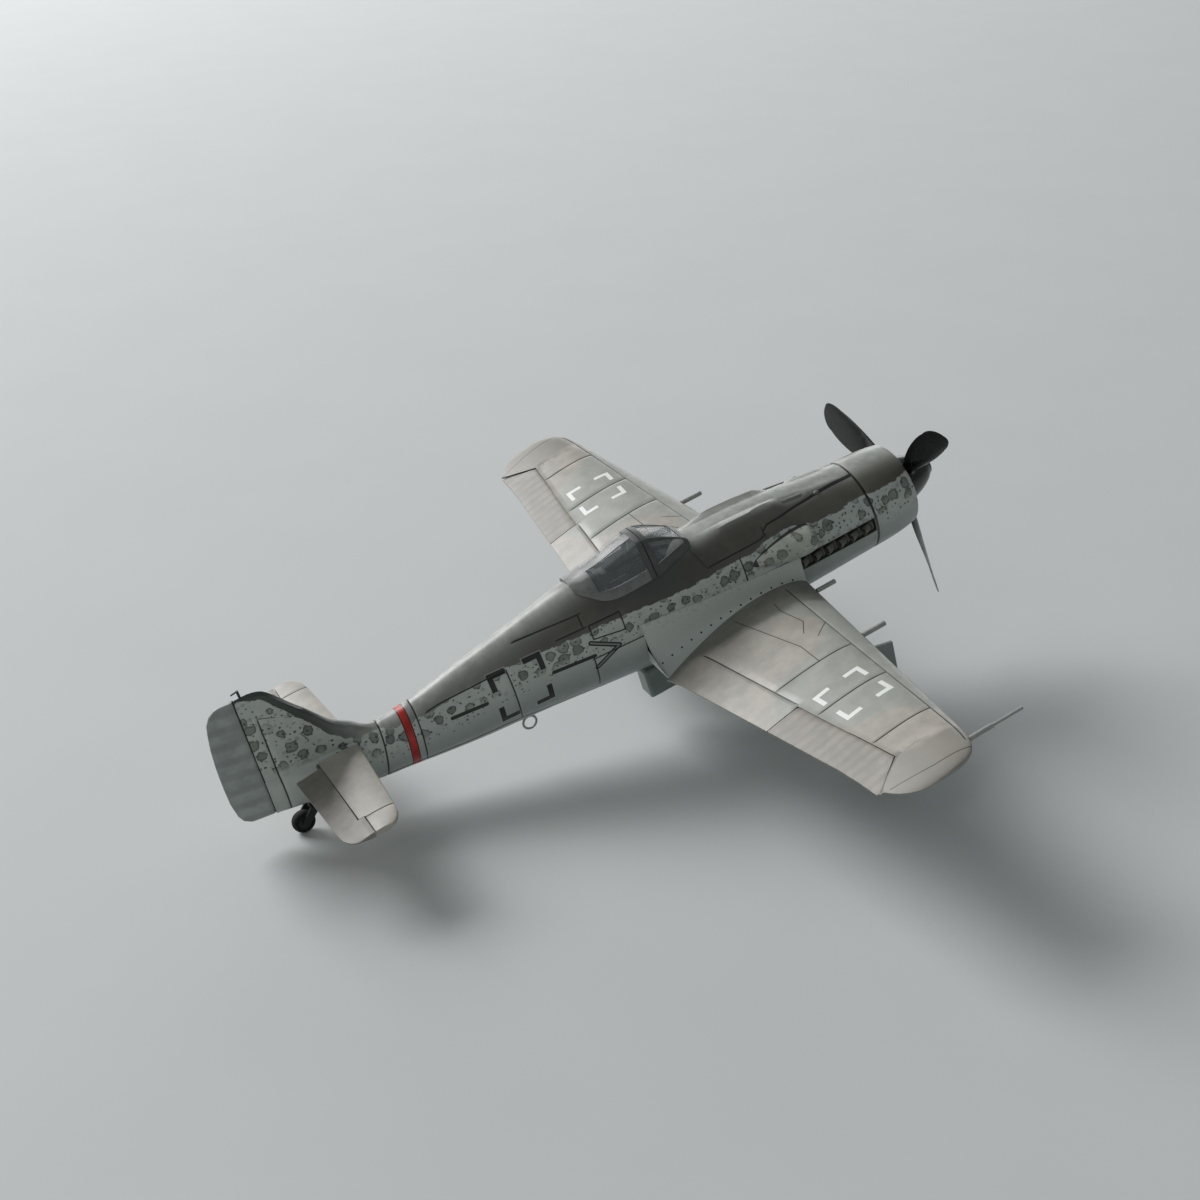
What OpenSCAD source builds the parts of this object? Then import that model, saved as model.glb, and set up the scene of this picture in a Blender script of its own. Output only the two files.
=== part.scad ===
// Propeller fighter, standing scale model, 1:72. Millimetres.
// Row frame: +X nose, +Y left wing, +Z up, z = 0 at the ground under the tyres.
// Airframe frame used by the modules: s runs aft from the spinner tip along the
// thrust line (x = -s), y to the left, z up from the thrust line.

/* [Fuselage] */
// Skin thickness of the hollow fuselage halves
skin = 1.0; // [0.8:0.1:1.2]
// Radius of the round nose cowl where it meets the fuselage
cowl_r = 8.6; // [8.3:0.1:8.9]

/* [Wing] */
// Distance from the centre line to the wing tip
half_span = 72.9; // [72:0.1:74]
// Rise of the wing per millimetre outboard
dihedral = 0.0875; // [0.08:0.0025:0.095]
// Skin thickness of the wing shells
wing_skin = 0.9; // [0.7:0.1:1.1]
// Gap between each control surface and the surface it hangs from
hinge_gap = 0.2; // [0.15:0.01:0.25]

/* [Tail] */
// Distance from the centre line to the tailplane tip
tail_half_span = 25.8; // [25:0.1:26.5]

/* [Propeller] */
// Propeller radius to the blade tip
prop_r = 23.8; // [22:0.1:24.5]
// Angle of the first blade above the left horizontal
blade_start = 18.5; // [0:0.5:119.5]
// Shaft radius
shaft_r = 0.8; // [0.7:0.05:0.9]
// Radial clearance of every turning fit
run_gap = 0.06; // [0.04:0.01:0.08]

/* [Undercarriage] */
// Main wheel radius
wheel_r = 4.85; // [4.7:0.05:4.9]
// Main wheel width
wheel_w = 2.4; // [2:0.1:2.6]
// Half of the track
track_half = 24.3; // [24:0.1:25]
// Tail wheel radius
tail_wheel_r = 2.05; // [1.9:0.05:2.3]

/* [Hidden] */

stand_angle = 14.5;      // nose-up attitude on the wheels
tip_x = 125.5;           // spinner tip ahead of the tail wheel contact
tip_z = 38.0;            // spinner tip above the ground
centre_x = 56.03;        // middle of the whole model, measured from the tail wheel contact

function lerp(a, b, t) = a + (b - a) * t;
function clamp01(t) = min(1, max(0, t));
function smooth(a, b, v) = let (t = clamp01((v - a) / (b - a))) t * t * (3 - 2 * t);

// Smooth cubic through the rows of a design table, column c, at station s
function seg(T, s, i = 0) = (i >= len(T) - 2 || s < T[i + 1][0]) ? i : seg(T, s, i + 1);
function slope(T, i, c) = i <= 0 ? (T[1][c] - T[0][c]) / (T[1][0] - T[0][0])
  : i >= len(T) - 1 ? (T[i][c] - T[i - 1][c]) / (T[i][0] - T[i - 1][0])
  : (T[i + 1][c] - T[i - 1][c]) / (T[i + 1][0] - T[i - 1][0]);
function at(T, s, c) = let (i = seg(T, s), h = T[i + 1][0] - T[i][0], t = clamp01((s - T[i][0]) / h),
  m0 = slope(T, i, c) * h, m1 = slope(T, i + 1, c) * h)
  (2*t*t*t - 3*t*t + 1) * T[i][c] + (t*t*t - 2*t*t + t) * m0 + (3*t*t - 2*t*t*t) * T[i + 1][c] + (t*t*t - t*t) * m1;

// ---------- closed solid between two families of curves ----------
function total(v, i = 0, r = 0) = i < len(v) ? total(v, i + 1, r + v[i]) : r;
function volume6(P, F) = total([for (f = F) P[f[0]] * cross(P[f[1]], P[f[2]])]);
module skin_solid(A, B) {
  M = len(A) - 1; N = len(A[0]) - 1; n = 2 * N + 2; o = M * n;
  P = [for (k = [0:M]) each concat(A[k], [for (i = [N:-1:0]) B[k][i]])];
  F = concat(
    [for (k = [0:M - 1]) for (i = [0:n - 1]) let (j = (i + 1) % n, a = k*n + i, b = k*n + j, c = (k+1)*n + j, d = (k+1)*n + i) each [[a, b, c], [a, c, d]]],
    [for (i = [0:N - 1]) each [[i, 2*N + 1 - i, 2*N - i], [i, 2*N - i, i + 1]]],
    [for (i = [0:N - 1]) each [[o + i, o + i + 1, o + 2*N - i], [o + i, o + 2*N - i, o + 2*N + 1 - i]]]);
  G = volume6(P, F) > 0 ? [for (f = F) [f[2], f[1], f[0]]] : F;
  polyhedron(points = P, faces = G, convexity = 6);
}

module stand() translate([tip_x - centre_x, 0, tip_z]) rotate([0, -stand_angle, 0]) children();
module port() mirror([0, 1, 0]) children();
module rod(p, q, r, fn = 24) { v = q - p; L = norm(v);
  translate(p) rotate([0, acos(v[2] / L), atan2(v[1], v[0])]) cylinder(r = r, h = L, $fn = fn); }

// ---------- fuselage ----------
// s, half width, top, bottom, height of the widest line, top roundness, bottom roundness
FUS = [
  [ 17.5, cowl_r, cowl_r, -cowl_r, 0.0, 2.0, 2.0],
  [ 25.0, 8.6,  9.5, -8.9, 0.1, 2.0, 2.0],
  [ 34.0, 8.4, 10.9, -9.1, 0.3, 2.1, 2.1],
  [ 42.0, 8.1, 11.5, -9.1, 0.5, 2.2, 2.2],
  [ 50.0, 7.7, 11.7, -9.0, 0.7, 2.4, 2.2],
  [ 58.0, 7.2, 12.4, -8.8, 1.0, 2.7, 2.2],
  [ 66.0, 6.6, 13.2, -8.3, 1.6, 2.7, 2.2],
  [ 74.0, 6.0, 13.95, -7.5, 2.3, 2.3, 2.2],
  [ 82.0, 5.3, 12.6, -6.6, 2.5, 2.1, 2.2],
  [ 90.0, 4.7, 11.05, -5.9, 2.5, 2.1, 2.2],
  [ 98.0, 4.1,  9.6, -5.2, 2.4, 2.1, 2.2],
  [106.0, 3.6,  8.0, -3.9, 2.3, 2.1, 2.2],
  [113.0, 3.2,  7.4, -2.8, 2.5, 2.1, 2.2],
  [120.0, 2.7,  7.6, -1.6, 3.0, 2.1, 2.2],
  [127.0, 2.1,  7.9, -0.4, 3.6, 2.1, 2.2],
  [133.0, 1.5,  8.2,  0.8, 4.4, 2.1, 2.2]];
// Top line of the fin above the spine
FIN = [[108, 7.6], [112, 7.8], [115.3, 9.0], [118, 10.6], [120, 12.2], [123, 16.8], [125, 19.7],
       [126.6, 21.8], [128, 23.1], [129.6, 23.7], [131, 23.9], [133, 23.9]];
fin_root = 108;
// Opening of the cockpit, as the angle from the top of the section where the skin starts
function sill(s) = 39 * smooth(52, 60, s) * (1 - smooth(70.5, 73.3, s));
function half_point(s, a, w, t, b, m, nt, nb) =
  [w * pow(max(0, sin(a)), 2 / (a < 90 ? nt : nb)),
   a < 90 ? m + (t - m) * pow(cos(a), 2 / nt) : m - (m - b) * pow(max(0, -cos(a)), 2 / nb)];
function fus(s, a, inset = 0) = let (w = at(FUS, s, 1), t = at(FUS, s, 2), b = at(FUS, s, 3), k = min(inset, w * 0.5))
  half_point(s, a, w - k, t - k, b + k, at(FUS, s, 4), at(FUS, s, 5), at(FUS, s, 6));
NF = 5; NS = 13;   // points on the fin side and on the body side of a half section
join_a = 30;
// half thickness of the fin at station s and height z
function fin_half(s, z) = let (c = clamp01((s - 112) / 21)) lerp(1.45, 0.75, clamp01((z - 7) / 17)) * (0.35 + 0.65 * sin(90 + 90 * pow(abs(c - 0.45) / 0.55, 2)) * 0.5 + 0.325);
// half width of the body at station s and height z
function fus_y(s, z) = let (m = at(FUS, s, 4), t = at(FUS, s, 2), b = at(FUS, s, 3), n = z > m ? at(FUS, s, 5) : at(FUS, s, 6))
  at(FUS, s, 1) * pow(max(0, 1 - pow(abs(z - m) / (z > m ? t - m : m - b), n)), 1 / n);
function half_section(s, inset) =
  let (top = at(FUS, s, 2), rise = s > fin_root ? max(0, at(FIN, s, 1) - top) : 0,
       blend = smooth(0, 2.5, rise), a0 = sill(s), aj = max(join_a, a0 + 2), pj = fus(s, aj, inset),
       zt = top + rise - (inset > 0 ? min(inset, 0.6 + rise * 0) : 0))
  concat([for (i = [0:NF - 1]) let (v = i / NF, a = lerp(a0, aj, v), p = fus(s, a, inset),
            z = lerp(zt, pj[1], pow(v, 0.8)),
            q = [inset > 0 ? 0 : i == 0 ? 0 : min(pj[0], fin_half(s, z) * (i == 1 ? 0.85 : 1)), z])
          [lerp(p[0], q[0], blend), lerp(p[1], q[1], blend)]],
         [for (i = [0:NS]) fus(s, lerp(aj, 180, i / NS), inset)]);
// the last stations lean with the rudder post
function lean(s, z) = 0.0633 * (12.3 - z) * smooth(124, 132, s);
FS = [17.5, 21, 25, 29, 33, 37, 42, 46, 50, 51.8, 52.8, 54, 57, 60, 64, 67, 70.2, 71.4, 72.4, 73.4, 75, 78, 82, 87, 92, 97, 102, 106,
      110, 112.5, 115, 117, 119, 121, 123, 125, 126.8, 128.4, 130, 131.4, 132.4];
module fuselage_half() {
  difference() {
    skin_solid([for (s = FS) [for (p = half_section(s, 0)) [-(s + lean(s, p[1])), -p[0], p[1]]]],
               [for (s = FS) [for (p = half_section(s, skin)) [-(s + lean(s, p[1])), -p[0], p[1]]]]);
    // bearing of the elevator torque tube
    translate([-elev_s, 0, elev_z]) rotate([90, 0, 0]) cylinder(r = tube_r + run_gap, h = 8, $fn = 32);
    // socket of the tail wheel swivel pin
    swivel_place() translate([0, 0, -1]) cylinder(r = swivel_r + run_gap, h = 3.2, $fn = 32);
  }
}
module fuselage_right() color("#8f928e") stand() fuselage_half();
module fuselage_left() color("#8f928e") stand() port() fuselage_half();

// ---------- wing ----------
function le(y) = 32.4 + 0.145 * y;
function te(y) = 66.9 - 0.124 * y;
function tipround(t, n) = 1 - pow(max(0, 1 - pow(clamp01(t), n)), 1 / n);
tip_t0 = 65; tip_s = 50.5;
function wle(y) = let (t = (y - tip_t0) / (half_span - tip_t0)) le(y) + (tip_s - 0.25 - le(y)) * tipround(t, 3.2);
function wte(y) = let (t = (y - tip_t0) / (half_span - tip_t0)) te(y) - (te(y) - tip_s - 0.25) * tipround(t, 2.4);
function zle(y) = -5.15 + dihedral * y;
function zte(y) = -6.10 + dihedral * y;
// thickness and camber of the section
function thick(x) = 5 * (0.2969 * sqrt(x) - 0.126 * x - 0.3516 * x*x + 0.2843 * x*x*x - 0.1015 * x*x*x*x);
function camber(x) = x < 0.3 ? 0.02 * (2 * 0.3 * x - x*x) / 0.09 : 0.02 * (0.4 + 0.6 * x - x*x) / 0.49;
function tc(y) = 0.153 - 0.0009 * y;
function wx(s, y) = clamp01((s - wle(y)) / (wte(y) - wle(y)));
function wmid(s, y) = let (x = wx(s, y), c = wte(y) - wle(y), xf = clamp01((s - le(y)) / (te(y) - le(y)))) lerp(zle(y), zte(y), xf) + camber(x) * c;
function whalf(s, y) = let (x = wx(s, y), c = wte(y) - wle(y)) thick(x) * tc(y) * c * 1.0 + 0.1;
function wtop(s, y) = wmid(s, y) + whalf(s, y);
function wlow(s, y) = wmid(s, y) - whalf(s, y);
// edge of the wing-to-body fillet, flaring out towards the trailing edge
function yfil(s) = 8.7 + 3.9 * pow(clamp01((s - 44) / 22), 1.6);
// aileron hinge line
ail_in = 40.4; ail_out = 63.6; ail_r = 0.75;
ail_a = [55.6, 40.4]; ail_b = [52.9, 63.6];
function ail_s(y) = lerp(ail_a[0], ail_b[0], (y - ail_a[1]) / (ail_b[1] - ail_a[1]));
function ail_slant(s) = ail_out + 4.2 * clamp01((s - 52.9) / 5.6);
NX = 13;
function cosx(i, n) = 0.5 - 0.5 * cos(180 * i / n);
// wing stations: [y, kind]; kind 0 full chord, 1 ends ahead of the aileron, 2 full chord with the slanted edge
WS = [[8.7, 0], [12, 0], [16.5, 0], [22, 0], [28, 0], [34, 0], [39.5, 0], [40.2, 0], [40.24, 1], [46, 1], [52, 1], [58, 1], [63.8, 1], [63.84, 2],
      [66.2, 3], [68.2, 0], [69.8, 0], [71, 0], [71.9, 0], [72.5, 0], [72.82, 0]];
function wing_s(y, kind, i) = let (a = wle(y), b = kind == 1 ? ail_s(y) - ail_r - hinge_gap : wte(y)) lerp(a, b, cosx(i, NX));
function wing_y(y, kind, s) = kind == 2 ? y + 4.2 * clamp01((s - 52.9) / 5.6) : kind == 3 ? y + 2.1 * clamp01((s - 52.9) / 5.6)
  : y + (yfil(s) - 8.7) * max(0, 1 - (y - 8.7) / 7.8);
function wing_curve(y, kind, f) = [for (i = [0:NX]) let (s = wing_s(y, kind, i), yy = wing_y(y, kind, s)) [-s, -yy, wing_z(s, yy, f)]];
// f: 2 outer top, 1 inner top, -1 inner bottom, -2 outer bottom
function wing_z(s, y, f) = let (m = wmid(s, y), h = whalf(s, y))
  f == 2 ? m + h : f == 1 ? m + max(0, h - wing_skin) : f == -1 ? m - max(0, h - wing_skin) : m - h;
module wing_shell(f) skin_solid([for (w = WS) wing_curve(w[0], w[1], 2 * f)], [for (w = WS) wing_curve(w[0], w[1], f)]);
module hinge_pins(r, x) for (e = [0, 1]) let (p = e == 0 ? ail_p(ail_in) : ail_p(ail_out), d = (ail_p(ail_out) - ail_p(ail_in)) / norm(ail_p(ail_out) - ail_p(ail_in)))
  rod(p - d * x, p + d * x, r, 24);
function ail_p(y) = [-ail_s(y), -y, wmid(ail_s(y), y)];
module wing_upper() wing_shell(1);
module wing_lower() wing_shell(-1);
module wing_upper_right() color("#8f8b84") stand() wing_upper();
module wing_upper_left() color("#8f8b84") stand() port() wing_upper();
module wing_lower_right() color("#8d9a9c") stand() wing_lower();
module wing_lower_left() color("#8d9a9c") stand() port() wing_lower();

// aileron: round nose on the hinge line, tapering to the trailing edge
AN = 6;
function ail_curve(y, slant, side) = let (sh = ail_s(min(y, ail_out)), r = min(ail_r, whalf(sh, y)), b = wte(min(y, tip_t0)))
  concat([for (i = [0:AN - 1]) let (a = 90 * (1 - i / AN)) [-(sh - r * sin(a)), -y, wmid(sh, y) + side * max(0.03, r * cos(a))]],
         [for (i = [0:4]) let (t = i / 4, s = lerp(sh, b, t), yy = y + slant * clamp01((s - 52.9) / 5.6)) [-s, -yy, wmid(s, yy) + side * min(r, whalf(s, yy))]]);
AY = [[40.4, 0], [46, 0], [52, 0], [58, 0], [61.5, 1.4], [63.6, 4.0]];
module aileron() difference() { skin_solid([for (w = AY) ail_curve(w[0], w[1], 1)], [for (w = AY) ail_curve(w[0], w[1], -1)]); hinge_pins(0.25 + run_gap, 1.3); }
module aileron_right() color("#9a958d") stand() aileron();
module aileron_left() color("#9a958d") stand() port() aileron();
// pins fixed in the wing, one at each end of each aileron
module aileron_pins() color("#77797b") stand() union() { hinge_pins(0.25, 1.1); port() hinge_pins(0.25, 1.1); }

// fillet between the body and the wing root
NR = 12;
function fil_in(s) = [for (i = [0:NR]) let (a = lerp(84, 128, i / NR), p = fus(s, a, 0)) [-s, -p[0] - 0.02, p[1]]];
function fil_out(s) = let (yf = yfil(s) - 0.02, zt = wtop(s, yf), zb = wlow(s, yf), p0 = fus(s, 84, 0), p1 = fus(s, 128, 0))
  [for (i = [0:NR]) i <= 7 ? let (t = i / 7, q = [lerp(lerp(p0[0] + 0.25, p0[0] + 0.35, t), lerp(p0[0] + 0.35, yf, t), t), lerp(lerp(p0[1], zt, pow(t, 0.5)), zt, t)]) [-s, -q[0], q[1]]
     : i == 8 ? [-s, -yf, lerp(zt, zb, 0.5)]
     : let (t = (i - 9) / 3) [-s, -lerp(yf, p1[0] + 0.25, t), lerp(zb, p1[1], t * t)]];
RS = [33.9, 35, 37, 40, 44, 48, 52, 56, 59, 62, 64.4, 65.3];
module fillet() skin_solid([for (s = RS) fil_in(s)], [for (s = RS) fil_out(s)]);
module wing_fillet_right() color("#a9aaa6") stand() fillet();
module wing_fillet_left() color("#a9aaa6") stand() port() fillet();

// ---------- tailplane, elevators, rudder ----------
elev_s = 124.7; elev_z = 6.2; tube_r = 0.35; elev_r = 0.55; horn_y = 20.5;
function tle(y) = let (t = (y - 20.5) / (tail_half_span - 20.5)) 117.1 + 0.055 * y + (121.5 - 117.1 - 0.055 * y) * tipround(t, 2.6);
function tte(y) = let (t = (y - 21) / (tail_half_span - 21)) 129.4 - 0.045 * y - (129.4 - 0.045 * y - 124.2) * tipround(t, 2.8);
function thalf(s, y) = let (x = clamp01((s - tle(y)) / (tte(y) - tle(y)))) 0.12 + thick(x) * 0.105 * (129.4 - 117.1) * (1 - 0.012 * y);
TY = [2.2, 6, 11, 16, 20.3, 20.34, 21.8, 23, 24, 24.7, 25.05];
function tail_end(y) = y > 20.32 ? elev_s - 1.3 - hinge_gap : elev_s - elev_r - hinge_gap;
function tail_curve(y, f) = [for (i = [0:9]) let (yy = y * tail_half_span / 25.3, s = lerp(tle(yy), tail_end(y), pow(i / 9, 1.3))) [-s, -(i > 0 || y > 3 ? yy : yy), elev_z + f * thalf(s, yy)]];
module tailplane() skin_solid([for (y = TY) tail_curve(y, 1)], [for (y = TY) tail_curve(y, -1)]);
module tailplane_trim() difference() { tailplane(); translate([0, 0, 0]) body_plug(); }
// the part of the tail cone that the root of the tailplane butts against
module body_plug() skin_solid([for (s = [115, 119, 122, 125]) [for (a = [30, 60, 90, 120, 150]) let (p = fus(s, a)) [-s, -p[0] - 0.06, p[1]]]],
                              [for (s = [115, 119, 122, 125]) [for (a = [30, 60, 90, 120, 150]) let (p = fus(s, a)) [-s, 3, p[1]]]]);
module tailplane_right() color("#a39e96") stand() tailplane_trim();
module tailplane_left() color("#a39e96") stand() port() tailplane_trim();
EY = [3.3, 8, 14, 20.36, 20.4, 22, 23.2, 24.1, 24.7, 25.05];
function elev_curve(y, side) = let (yy = y * tail_half_span / 25.3, horn = y > 20.38, b = tte(yy))
  concat([for (i = [0:5]) let (a = 90 * (1 - i / 6)) horn ? [-(elev_s - 1.3 + 1.3 * (1 - cos(90 * i / 6)) * 0.9), -yy, elev_z + side * max(0.1, min(elev_r, thalf(elev_s - 1.0, yy)) * (i == 0 ? 0.75 : 1))]
            : [-(elev_s - elev_r * sin(a)), -yy, elev_z + side * max(0.03, elev_r * cos(a))]],
         [for (i = [0:3]) let (t = i / 3, s = lerp(elev_s, b, t)) [-s, -yy, elev_z + side * min(elev_r, thalf(s, yy))]]);
module elevator() difference() {
  skin_solid([for (y = EY) elev_curve(y, 1)], [for (y = EY) elev_curve(y, -1)]);
  translate([-elev_s, 0, elev_z]) rotate([90, 0, 0]) cylinder(r = tube_r, h = 6.3, $fn = 32);
}
module elevator_right() color("#a39e96") stand() elevator();
module elevator_left() color("#a39e96") stand() port() elevator();
module elevator_torque_tube() color("#55585a") stand() translate([-elev_s, 6.3, elev_z]) rotate([90, 0, 0]) cylinder(r = tube_r, h = 12.6, $fn = 32);

// rudder hinge line from the bottom to the top
rud_a = [134.5, 1.3]; rud_b = [133.1, 23.4]; rud_pin = 0.25;
function rud_h(z) = lerp(rud_a[0], rud_b[0], (z - rud_a[1]) / (rud_b[1] - rud_a[1]));
RUD = [[1.15, 136.2], [1.5, 138.0], [2.4, 139.2], [3.8, 139.75], [6.5, 140.0], [10, 139.85], [14, 139.5], [17.5, 139.0], [20.2, 138.4], [22, 137.9], [23.2, 137.0], [23.85, 135.9], [24.0, 135.0]];
function rud_r(z) = lerp(1.0, 0.7, clamp01((z - 4) / 18));
function rud_curve(z, e, side) = let (h = rud_h(z), r = rud_r(z))
  concat([for (i = [0:5]) let (a = 90 * (1 - i / 6)) [-(h - r * sin(a)), side * max(0.03, r * cos(a)), z]],
         [for (i = [0:3]) let (t = i / 3) [-lerp(h, e, t), side * lerp(r, 0.16, t), z]]);
module rudder_blade() difference() {
  skin_solid([for (w = RUD) rud_curve(w[0], w[1], 1)], [for (w = RUD) rud_curve(w[0], w[1], -1)]);
  rod([-rud_h(0.5), 0, 0.5], [-rud_h(25), 0, 25], rud_pin + run_gap, 32);
  for (z = [5.5, 18.5]) translate([-rud_h(z) - 1.1, -2, z - 0.45]) cube([3, 4, 0.9]);
}
module rudder() color("#a4aaa8") stand() rudder_blade();
// fixed hinge: two eyes on the fin post and the pin through them
module rudder_hinge() color("#4a4c4c") stand() union() {
  rod([-rud_h(1.6), 0, 1.6], [-rud_h(23.4), 0, 23.4], rud_pin, 32);
  for (z = [5.5, 18.5]) translate([-rud_h(z) - 0.45, -0.45, z - 0.3]) cube([2.0 - 0.31 - (z > 10 ? 0.3 : 0), 0.9, 0.6]);
}

// ---------- nose ----------
module thrust(s) translate([-s, 0, 0]) rotate([0, -90, 0]) children();   // local +z runs aft
module cowl_ring() color("#6e6d69") stand() thrust(8) rotate_extrude($fn = 96)
  polygon(concat([for (i = [0:10]) let (a = 180 - 18 * i) [7.05 + 0.5 * cos(a) + 0.35, 0.55 - 0.55 * sin(a)]],
    [[8.2, 2.2], [8.45, 4.5], [cowl_r, 7.5], [cowl_r, 9.3], [cowl_r - 1.1, 9.3], [cowl_r - 1.3, 5], [6.9, 1.6]]));
module radiator_core() color("#2c2c2b") stand() thrust(12.2) difference() {
  cylinder(r = 7.2, h = 1.6, $fn = 64); translate([0, 0, -1]) cylinder(r = 2.4, h = 4, $fn = 48); }
module nose_bulkhead() color("#3a3a39") stand() thrust(14.2) difference() {
  cylinder(r = 7.2, h = 1.8, $fn = 64); translate([0, 0, -1]) cylinder(r = shaft_r + run_gap, h = 4, $fn = 48); }
module spinner() color("#1b1b1c") stand() difference() {
  thrust(0) rotate_extrude($fn = 96) polygon([[0, 0], [0.9, 0.18], [1.7, 0.7], [2.55, 1.7], [3.3, 3.0], [3.9, 4.4], [4.35, 5.9], [4.7, 7.4], [4.85, 8.6],
    [4.15, 8.6], [4.0, 7.4], [3.65, 5.9], [3.2, 4.4], [2.6, 3.0], [1.7, 1.7], [0.6, 1.0], [0, 0.9]]);
  for (k = [0:2]) blade_place(k) translate([0, 0, 2]) cylinder(r = 1.1, h = 4, $fn = 32);
}
module spinner_backplate() color("#1b1b1c") stand() thrust(8.62) difference() {
  cylinder(r = 4.85, h = 0.6, $fn = 64); translate([0, 0, -1]) cylinder(r = shaft_r, h = 3, $fn = 48); }
module blade_place(k) translate([-6.2, 0, 0]) rotate([blade_start + 120 * k - 90, 0, 0]) children();  // local +z runs out along the blade
module propeller_hub() color("#2a2a2b") stand() thrust(4.6) difference() {
  cylinder(r = 2.3, h = 3.9, $fn = 48); translate([0, 0, 1.2]) cylinder(r = shaft_r, h = 5, $fn = 48); }
module propeller_shaft() color("#8a8d90") stand() thrust(5.8) cylinder(r = shaft_r, h = 12.6, $fn = 48);
module shaft_retainer() color("#8a8d90") stand() thrust(16.2) difference() {
  cylinder(r = 1.9, h = 1.2, $fn = 48); translate([0, 0, -1]) cylinder(r = shaft_r, h = 4, $fn = 48); }
// r, chord, thickness, twist from the plane of rotation
BL = [[5.2, 2.2, 1.1, 52], [7.5, 3.1, 0.85, 46], [10.5, 4.2, 0.7, 39], [13.5, 4.9, 0.58, 33], [16.5, 5.2, 0.48, 29], [19.2, 5.0, 0.38, 26], [21.4, 4.2, 0.3, 24], [22.8, 3.1, 0.22, 23], [23.5, 1.9, 0.16, 23], [23.8, 0.8, 0.12, 23]];
function blade_curve(b, side) = let (r = b[0] * prop_r / 23.8) [for (i = [0:8]) let (x = cosx(i, 8), c = (x - 0.32) * b[1], h = side * max(0.03, b[2] * 0.5 * thick(x) / 0.5 + 0.02))
  [-c * sin(b[3]) + h * cos(b[3]), c * cos(b[3]) + h * sin(b[3]), r]];
module blade() union() {
  skin_solid([for (b = BL) blade_curve(b, 1)], [for (b = BL) blade_curve(b, -1)]);
  translate([0, 0, 2.35]) cylinder(r = 0.95, h = 3.0, $fn = 32);
}
module propeller_blades() color("#161617") stand() for (k = [0:2]) blade_place(k) blade();

// six short stubs a side, swept back
module exhaust_row() for (i = [0:5]) let (s = 18.3 + 2.66 * i, p = fus(s, 90)) translate([-s, -p[0] + 0.25, 0.15]) rotate([0, 0, -152])
  difference() { translate([0, -0.55, -0.55]) cube([2.1, 1.1, 1.1]); translate([1.2, -0.33, -0.33]) cube([2, 0.66, 0.66]); }
module exhaust_stacks_right() color("#3d3a37") stand() exhaust_trim();
module exhaust_stacks_left() color("#3d3a37") stand() port() exhaust_trim();
module exhaust_trim() difference() { exhaust_row(); exhaust_backing(); }
module exhaust_backing() skin_solid([for (s = [16, 21, 25, 29, 33, 37]) [for (a = [70, 85, 95, 110]) let (p = fus(s, a)) [-s, -p[0] - 0.05, p[1]]]],
                                     [for (s = [16, 21, 25, 29, 33, 37]) [for (a = [70, 85, 95, 110]) let (p = fus(s, a)) [-s, -4, p[1]]]]);
// right-hand air intake scoop: s, reach out of the side, half height
INT = [[30.6, 2.1, 2.1], [31.4, 2.4, 2.3], [33.5, 2.4, 2.4], [36, 2.0, 2.2], [39, 1.25, 1.6], [41.3, 0.6, 0.9], [42.6, 0.15, 0.35]];
function int_out(q) = [for (i = [0:8]) let (a = -90 + 22.5 * i, z = 4.2 + q[2] * sin(a)) [-q[0], -fus_y(q[0], z) - 0.1 - q[1] * pow(max(0, cos(a)), 0.7), z]];
function int_in(q) = [for (i = [0:8]) let (a = -90 + 22.5 * i, z = 4.2 + q[2] * sin(a)) [-q[0], -fus_y(q[0], z) - 0.04, z]];
module supercharger_intake() color("#a9aaa4") stand() difference() {
  skin_solid([for (q = INT) int_out(q)], [for (q = INT) int_in(q)]);
  translate([-33.6, -9.5, 4.2]) rotate([0, 90, 0]) cylinder(r = 0.8, h = 5, $fn = 32);
}
module cowl_guns() color("#3a3b3c") stand() for (y = [-2.9, 2.9]) let (z = fus(32.2, 20)[1]) translate([0, y, 0]) difference() {
  rod([-31.6, 0, z + 0.55], [-28.2, 0, z + 0.55], 0.38, 24); rod([-29.4, 0, z + 0.55], [-28, 0, z + 0.55], 0.2, 24); }
module gun(y, s0, s1, z, r) difference() { rod([-s0, y, z], [-s1, y, z], r, 32); rod([-s1 - 1.2, y, z], [-s1 + 1, y, z], r * 0.6, 32); }
module wing_root_guns() color("#77797b") stand() for (e = [-1, 1]) gun(12.6 * e, le(12.6) + 0.02, 30.4, zle(12.6) + 0.35, 0.42);
module outer_wing_guns() color("#77797b") stand() for (e = [-1, 1]) gun(31.2 * e, le(31.2) + 0.02, 32.4, zle(31.2) + 0.1, 0.45);
module pitot_tube() color("#77797b") stand() union() {
  rod([-wle(68.6) - 0.0, -68.6, zle(68.6)], [-38.2, -68.6, zle(68.6)], 0.42, 32);
  rod([-38.2, -68.6, zle(68.6)], [-32.6, -68.6, zle(68.6)], 0.26, 32); }

// ---------- cockpit ----------
module cockpit_tub() color("#3b3c3b") stand() difference() {
  translate([-70, -4.3, 0.4]) cube([16.4, 8.6, 8.6]); translate([-69.3, -3.6, 1.1]) cube([15.0, 7.2, 9]); }
module pilot_seat() color("#4a4b49") stand() difference() {
  translate([-67.4, -2.3, 1.12]) cube([5.2, 4.6, 7.6]); translate([-66.6, -1.7, 3.2]) cube([6, 3.4, 8]); }
module instrument_panel() color("#2e2f2f") stand() union() {
  translate([-55.6, -3.3, 5.4]) cube([0.7, 6.6, 4.2]); translate([-55.6, -1.1, 9.6]) cube([1.6, 2.2, 0.9]); }
module control_stick() color("#242424") stand() union() {
  rod([-60.2, 0, 1.12], [-60.8, 0, 6.0], 0.3, 24); rod([-60.8, 0, 6.0], [-60.9, 0, 7.6], 0.5, 24); }
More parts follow.
